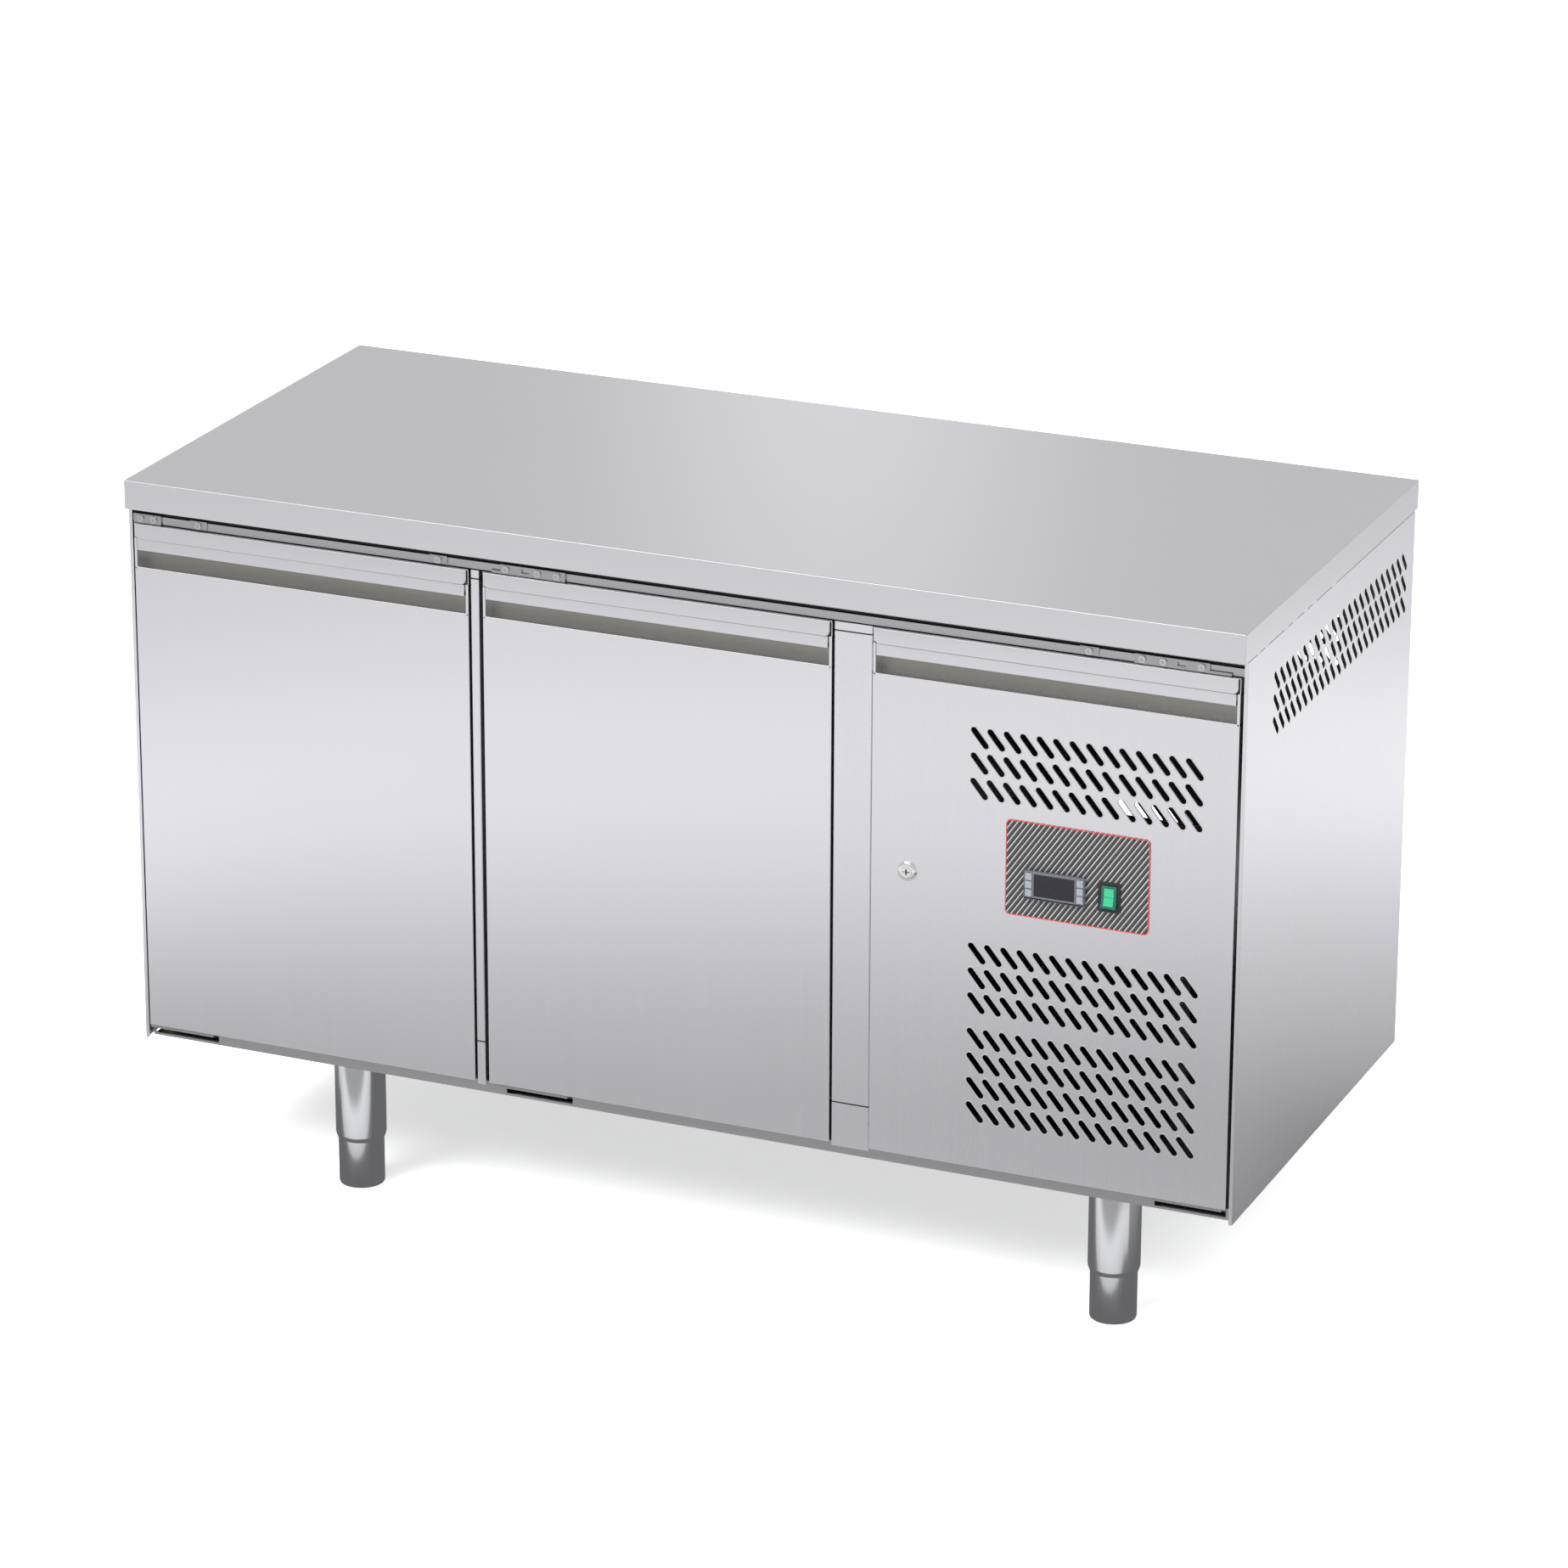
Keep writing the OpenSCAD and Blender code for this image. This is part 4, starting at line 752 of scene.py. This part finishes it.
def rocker_switch():
    body = "machine_door"
    low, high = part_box("switch_housing")
    r_low, r_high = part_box("switch_rocker")
    rim_back = PLATE[0].y
    place = Matrix.Translation((0, rim_back, 0)) @ FRONT_ON
    middle_z = (low.z + high.z) / 2
    half = 14.25 * MM
    well = rounded_rectangle((r_low.x + 0.7 * MM, middle_z - half),
                             (r_high.x - 0.7 * MM, middle_z + half), 0.8 * MM)
    piece = Piece("switch_surround")
    piece.plate(rounded_rectangle((low.x, low.z), (high.x, high.z), 1.2 * MM), [well[::-1]],
                rim_back - low.y, 0.5 * MM, place)
    piece.box((low.x + 3 * MM, rim_back + 12 * MM, low.z + 3 * MM),
              (high.x - 3 * MM, high.y, high.z - 3 * MM), 1 * MM)
    piece.finish(MATERIALS["black"], body, ["switch_housing"], "black_plastic")
    pivot_y, tilt, r = rim_back + 1 * MM, math.radians(8), 13.9 * MM
    turn = Matrix.Translation((0, pivot_y, middle_z)) @ Matrix.Rotation(-tilt, 4, "X")
    section = turn @ RIGHT_ON
    edge = math.asin(-5.2 * MM / r)
    angles = [math.pi / 2 - edge * k / 6 for k in range(6, -1, -1)]
    arc = [(r * math.cos(a), r * math.sin(a)) for a in angles]
    upper = arc + [(6 * MM, 4 * MM)]
    outline = [(-3.6 * MM, 0)] + upper + [(p[0], -p[1]) for p in upper[::-1]]
    x_0, x_1 = r_low.x + 1.2 * MM, r_high.x - 1.2 * MM
    rocker = Piece("rocker_button").prism(outline, x_0, x_1, section)
    rocker.finish(MATERIALS["rocker"], "rocker", ["switch_rocker"], "rocker_green")
    lens = Piece("rocker_lens")
    inset = 3.2 * MM
    for side in (1, -1):
        lens.prism([(-3.9 * MM, 0.2 * MM * side), (-3.4 * MM, 0.2 * MM * side), (-4.6 * MM, 10 * MM * side),
                    (-5.3 * MM, 10 * MM * side)], x_0 + inset, x_1 - inset, section)
    lens.finish(MATERIALS["lens"], "rocker", slot="rocker_green")


def lock():
    low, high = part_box("lock_barrel")
    x = (low.x + high.x) / 2
    z = (low.z + high.z) / 2
    ring = [(6.05, 0.4), (6.4, 0), (8.6, 0), (10.2, 0.5), (11.1, 1.5), (11.5, 3.5), (9, 3.5), (9, 29.5),
            (6.05, 29.5)]
    profile = [(a * MM, b * MM) for a, b in ring]
    Piece("lock_rosette").lathe(profile + profile[:1], (x, low.y, z), (0, 1, 0)).finish(
        MATERIALS["chrome"], "machine_door", ["lock_barrel"], "lock_chrome", sharp=40)
    c_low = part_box("lock_cylinder")[0]
    # The key slot is drawn as a near-black box on the cylinder face: painted shade inside the slot.
    keyway = Piece("lock_keyway")
    keyway.box((x - 0.9 * MM, c_low.y - 0.1 * MM, z - 3.6 * MM),
               (x + 0.9 * MM, c_low.y + 1 * MM, z + 3.6 * MM), 0.2 * MM)
    keyway.finish(MATERIALS["black"], "lock", slot="lock_chrome")


# ---------- machinery ----------

def compressor():
    low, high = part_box("compressor")
    x, y = high.x - 105 * MM, (low.y + high.y) / 2
    base = low.z + 25 * MM
    profile = [(0, 0), (70, 0), (80, 4), (82, 12), (82, 70), (84, 71), (84, 76), (82, 77), (82, 128)]
    profile += [(82 * math.cos(math.radians(a)), 128 + 46 * math.sin(math.radians(a)))
                for a in range(10, 91, 10)]
    shell = Piece("compressor_shell").lathe([(r * MM, h * MM) for r, h in profile], (x, y, base + 1 * MM))
    shell.box((x - 105 * MM, y - 75 * MM, base - 4 * MM),
              (x + 105 * MM, y + 75 * MM, base + 1 * MM), 1.5 * MM)
    shell.box((x - 104 * MM, y - 30 * MM, base + 60 * MM),
              (x - 70 * MM, y + 30 * MM, base + 120 * MM), 4 * MM)
    mount = [(5, 0), (12, 0), (12, 6), (9, 8), (9, 13), (12, 15), (12, 20), (5, 20), (5, 0)]
    for dx in (-90, 90):
        for dy in (-60, 60):
            shell.lathe([(r * MM, h * MM) for r, h in mount], (x + dx * MM, y + dy * MM, low.z),
                        segments=32)
    shell.finish(MATERIALS["paint"], "root", ["compressor"], "compressor_paint")


# ---------- stage ----------

# The even level of the studio's sky, and the brightest level of the band across it
SKY = 0.62
BAND = 0.86


def camera():
    """The photograph's viewing angle: 23 degrees to the right, 20 degrees above, from far away."""
    place = Vector((2.7635, -6.4478, 3.0722))
    yaw, pitch, roll = -0.4028, 0.3542, 0.0036
    forward = Vector((math.sin(yaw) * math.cos(pitch), math.cos(yaw) * math.cos(pitch), -math.sin(pitch)))
    right = forward.cross(Vector((0, 0, 1))).normalized()
    up = right.cross(forward)
    across = math.cos(roll) * right + math.sin(roll) * up
    upward = math.cos(roll) * up - math.sin(roll) * right
    data = bpy.data.cameras.new("camera")
    data.sensor_width = 36.0
    data.lens = 147.17
    data.clip_end = 100.0
    made = bpy.data.objects.new("camera", data)
    made.matrix_world = Matrix.Translation(place) @ Matrix((across, upward, -forward)).transposed().to_4x4()
    bpy.context.scene.collection.objects.link(made)
    bpy.context.scene.camera = made


def flat_square(name, size, z, material):
    bm = bmesh.new()
    bmesh.ops.create_grid(bm, x_segments=1, y_segments=1, size=size / 2)
    mesh = bpy.data.meshes.new(name)
    bm.to_mesh(mesh)
    bm.free()
    mesh.materials.append(material)
    made = bpy.data.objects.new(name, mesh)
    made.location.z = z
    bpy.context.scene.collection.objects.link(made)
    return made


def seen_in_reflections(made):
    for kind in ("camera", "diffuse", "shadow", "transmission"):
        setattr(made, "visible_" + kind, False)


def floor_glow():
    """What the steel sees of the floor; only reflections see it.

    Its level goes by the distance from the counter. In front it is brighter by the feet, and
    the pattern is skewed, further out on the right than on the left.
    """
    m = bpy.data.materials.new("floor_glow")
    m.use_nodes = True
    tree = m.node_tree
    tree.nodes.clear()
    out = tree.nodes.new("ShaderNodeOutputMaterial")
    glow = tree.nodes.new("ShaderNodeEmission")
    where = tree.nodes.new("ShaderNodeTexCoord")
    apart = tree.nodes.new("ShaderNodeSeparateXYZ")
    tree.links.new(where.outputs["Object"], apart.inputs[0])

    def calc(operation, a, b=0.0):
        node = tree.nodes.new("ShaderNodeMath")
        node.operation = operation
        for k, value in enumerate((a, b)):
            if isinstance(value, bpy.types.NodeSocket):
                tree.links.new(value, node.inputs[k])
            else:
                node.inputs[k].default_value = value
        return node.outputs[0]

    half_x, half_y = WORKTOP[1].x, WORKTOP[1].y
    feet_at, feet_reach, feet_boost = 0.14, 0.08, 2.2
    skew_origin, skew_slope = 0.8, 0.4
    skew_from, skew_over = 0.35, 0.4
    over_x = calc("MAXIMUM", calc("SUBTRACT", calc("ABSOLUTE", apart.outputs["X"]), half_x), 0.0)
    over_y = calc("MAXIMUM", calc("SUBTRACT", calc("ABSOLUTE", apart.outputs["Y"]), half_y), 0.0)
    away = calc("SQRT", calc("ADD", calc("MULTIPLY", over_x, over_x), calc("MULTIPLY", over_y, over_y)))
    in_front = calc("LESS_THAN", apart.outputs["Y"], -half_y)
    skew = calc("MULTIPLY", calc("ADD", apart.outputs["X"], skew_origin),
                calc("MULTIPLY", in_front, skew_slope))
    off_feet = calc("ABSOLUTE", calc("SUBTRACT", away, feet_at))
    near_feet = calc("MULTIPLY", in_front, calc("LESS_THAN", off_feet, feet_reach))
    further = calc("DIVIDE", calc("SUBTRACT", away, skew_from), skew_over)
    further = calc("MINIMUM", calc("MAXIMUM", further, 0.0), 1.0)
    away = calc("SUBTRACT", away, calc("MULTIPLY", skew, further))
    ramp = tree.nodes.new("ShaderNodeValToRGB")
    ramp.color_ramp.interpolation = "B_SPLINE"
    stops = [(0.0, 0.12), (0.26, 0.42), (0.50, 0.50), (0.80, 0.68), (1.05, 0.85), (1.30, 1.06),
             (1.50, 1.10), (1.70, 0.95), (1.95, 0.79), (2.30, 0.73), (2.80, 0.64)]
    reach = 3.0
    tree.links.new(calc("DIVIDE", away, reach), ramp.inputs[0])
    for k, (at, level) in enumerate(stops):
        stop = ramp.color_ramp.elements[k] if k < 2 else ramp.color_ramp.elements.new(at / reach)
        stop.position = at / reach
        stop.color = (level, level, level * 1.005, 1)
    tree.links.new(ramp.outputs[0], glow.inputs["Color"])
    tree.links.new(calc("ADD", 1.0, calc("MULTIPLY", near_feet, feet_boost)), glow.inputs["Strength"])
    tree.links.new(glow.outputs[0], out.inputs["Surface"])
    made = flat_square("floor_glow", 40.0, 0.002, m)
    seen_in_reflections(made)


def sky_band():
    """What the worktop sees behind the counter: one soft brighter band. Only reflections see it."""
    m = bpy.data.materials.new("sky_band")
    m.use_nodes = True
    tree = m.node_tree
    tree.nodes.clear()
    out = tree.nodes.new("ShaderNodeOutputMaterial")
    glow = tree.nodes.new("ShaderNodeEmission")
    where = tree.nodes.new("ShaderNodeTexCoord")
    wave = tree.nodes.new("ShaderNodeTexGradient")
    wave.gradient_type = "SPHERICAL"
    spread = tree.nodes.new("ShaderNodeMapping")
    lean, squeeze = math.radians(25), 1.9
    spread.inputs["Rotation"].default_value = (0, 0, lean)
    spread.inputs["Scale"].default_value = (squeeze, 1.0, 1.0)
    tree.links.new(where.outputs["Object"], spread.inputs["Vector"])
    tree.links.new(spread.outputs["Vector"], wave.inputs["Vector"])
    level = tree.nodes.new("ShaderNodeMapRange")
    level.interpolation_type = "SMOOTHSTEP"
    level.inputs["To Min"].default_value = SKY
    level.inputs["To Max"].default_value = BAND
    tree.links.new(wave.outputs["Fac"], level.inputs["Value"])
    tree.links.new(level.outputs["Result"], glow.inputs["Strength"])
    tree.links.new(glow.outputs[0], out.inputs["Surface"])
    made = flat_square("sky_band", 2.4, 0.0, m)
    centre = (-0.55, 1.5, 1.32)
    made.matrix_world = Matrix.Translation(centre) @ Matrix.Rotation(math.radians(90), 4, "X")
    seen_in_reflections(made)


def area_light(name, place, target, size, power):
    data = bpy.data.lights.new(name, "AREA")
    data.shape = "RECTANGLE"
    data.size, data.size_y = size
    data.energy = power
    made = bpy.data.objects.new(name, data)
    made.location = place
    made.rotation_euler = (Vector(target) - Vector(place)).to_track_quat("-Z", "Y").to_euler()
    bpy.context.scene.collection.objects.link(made)
    return made


def studio():
    scene = bpy.context.scene
    scene.view_settings.view_transform = "Standard"
    scene.view_settings.look = "None"
    world = bpy.data.worlds.new("studio")
    world.use_nodes = True
    scene.world = world
    back = world.node_tree.nodes["Background"]
    back.inputs["Color"].default_value = (1, 1, 1, 1)
    back.inputs["Strength"].default_value = SKY
    flat_square("floor", 60.0, 0.0, MATERIALS["pale"])
    floor_glow()
    area_light("key", (-2.5, -4.5, 5.5), (0, 0, 0.4), (3.5, 3.5), 420).visible_glossy = False
    area_light("fill", (4.5, -2.0, 4.0), (0.2, 0, 0.5), (3.0, 3.0), 160).visible_glossy = False
    area_light("edge", (-1.5, -4.5, 5.5), (0, 0, 0.4), (5.0, 3.5), 85)
    sky_band()
    sun = bpy.data.lights.new("overhead", "SUN")
    sun.energy = 1.6
    sun.angle = math.radians(60)
    made = bpy.data.objects.new("overhead", sun)
    made.rotation_euler = (math.radians(12), math.radians(-10), 0)
    made.visible_glossy = False
    scene.collection.objects.link(made)


camera()
studio()
worktop()
side_panel("right_side_sheet", "right_side_panel", 1, True)
side_panel("left_side_sheet", "left_side_panel", -1, False)
rear_grille()
compartment_lining()
worktop_seal_and_shadow()
folded_post("door_post_cover", "door_mullion")
rosette_radius = 11.5 * MM
lock_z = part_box("lock_barrel")[0].z + rosette_radius
cam_window = (Vector((0, FACE + 24 * MM, lock_z - 12 * MM)),
              Vector((0, FACE + 42 * MM, lock_z + 32 * MM)))
folded_post("machine_stile_cover", "machine_stile", cam_window)
legs()
door("door_left")
door("door_right")
machine_panel()
control_plate()
thermostat()
rocker_switch()
lock()
compressor()
dress("board", "worktop_core")
dress("galvanised", "back_panel", "base_panel", "fan_motors")
dress("foam", "cabinet_foam", "door_left_foam", "door_right_foam")
dress("liner", "inner_liner", "door_left_liner", "door_right_liner", "shelf_runners", "evaporator_cover",
      "drip_tray")
# The rails' darkened steel is painted shade.
dress("rail", "top_rail", "bottom_rail")
dress("bracket", "front_brackets")
dress("screw", "front_screws", "hinge_pins")
dress("wire", "wire_shelves")
dress("fins", "evaporator_coil")
dress("dark_fins", "condenser_coil")
dress("copper", "refrigerant_pipes")
dress("black", "cable_gland", "evaporator_fan", "condenser_fan")
dress("nylon", "door_left_bushes", "door_right_bushes", "panel_bushes")
dress("chrome", "lock_cylinder")
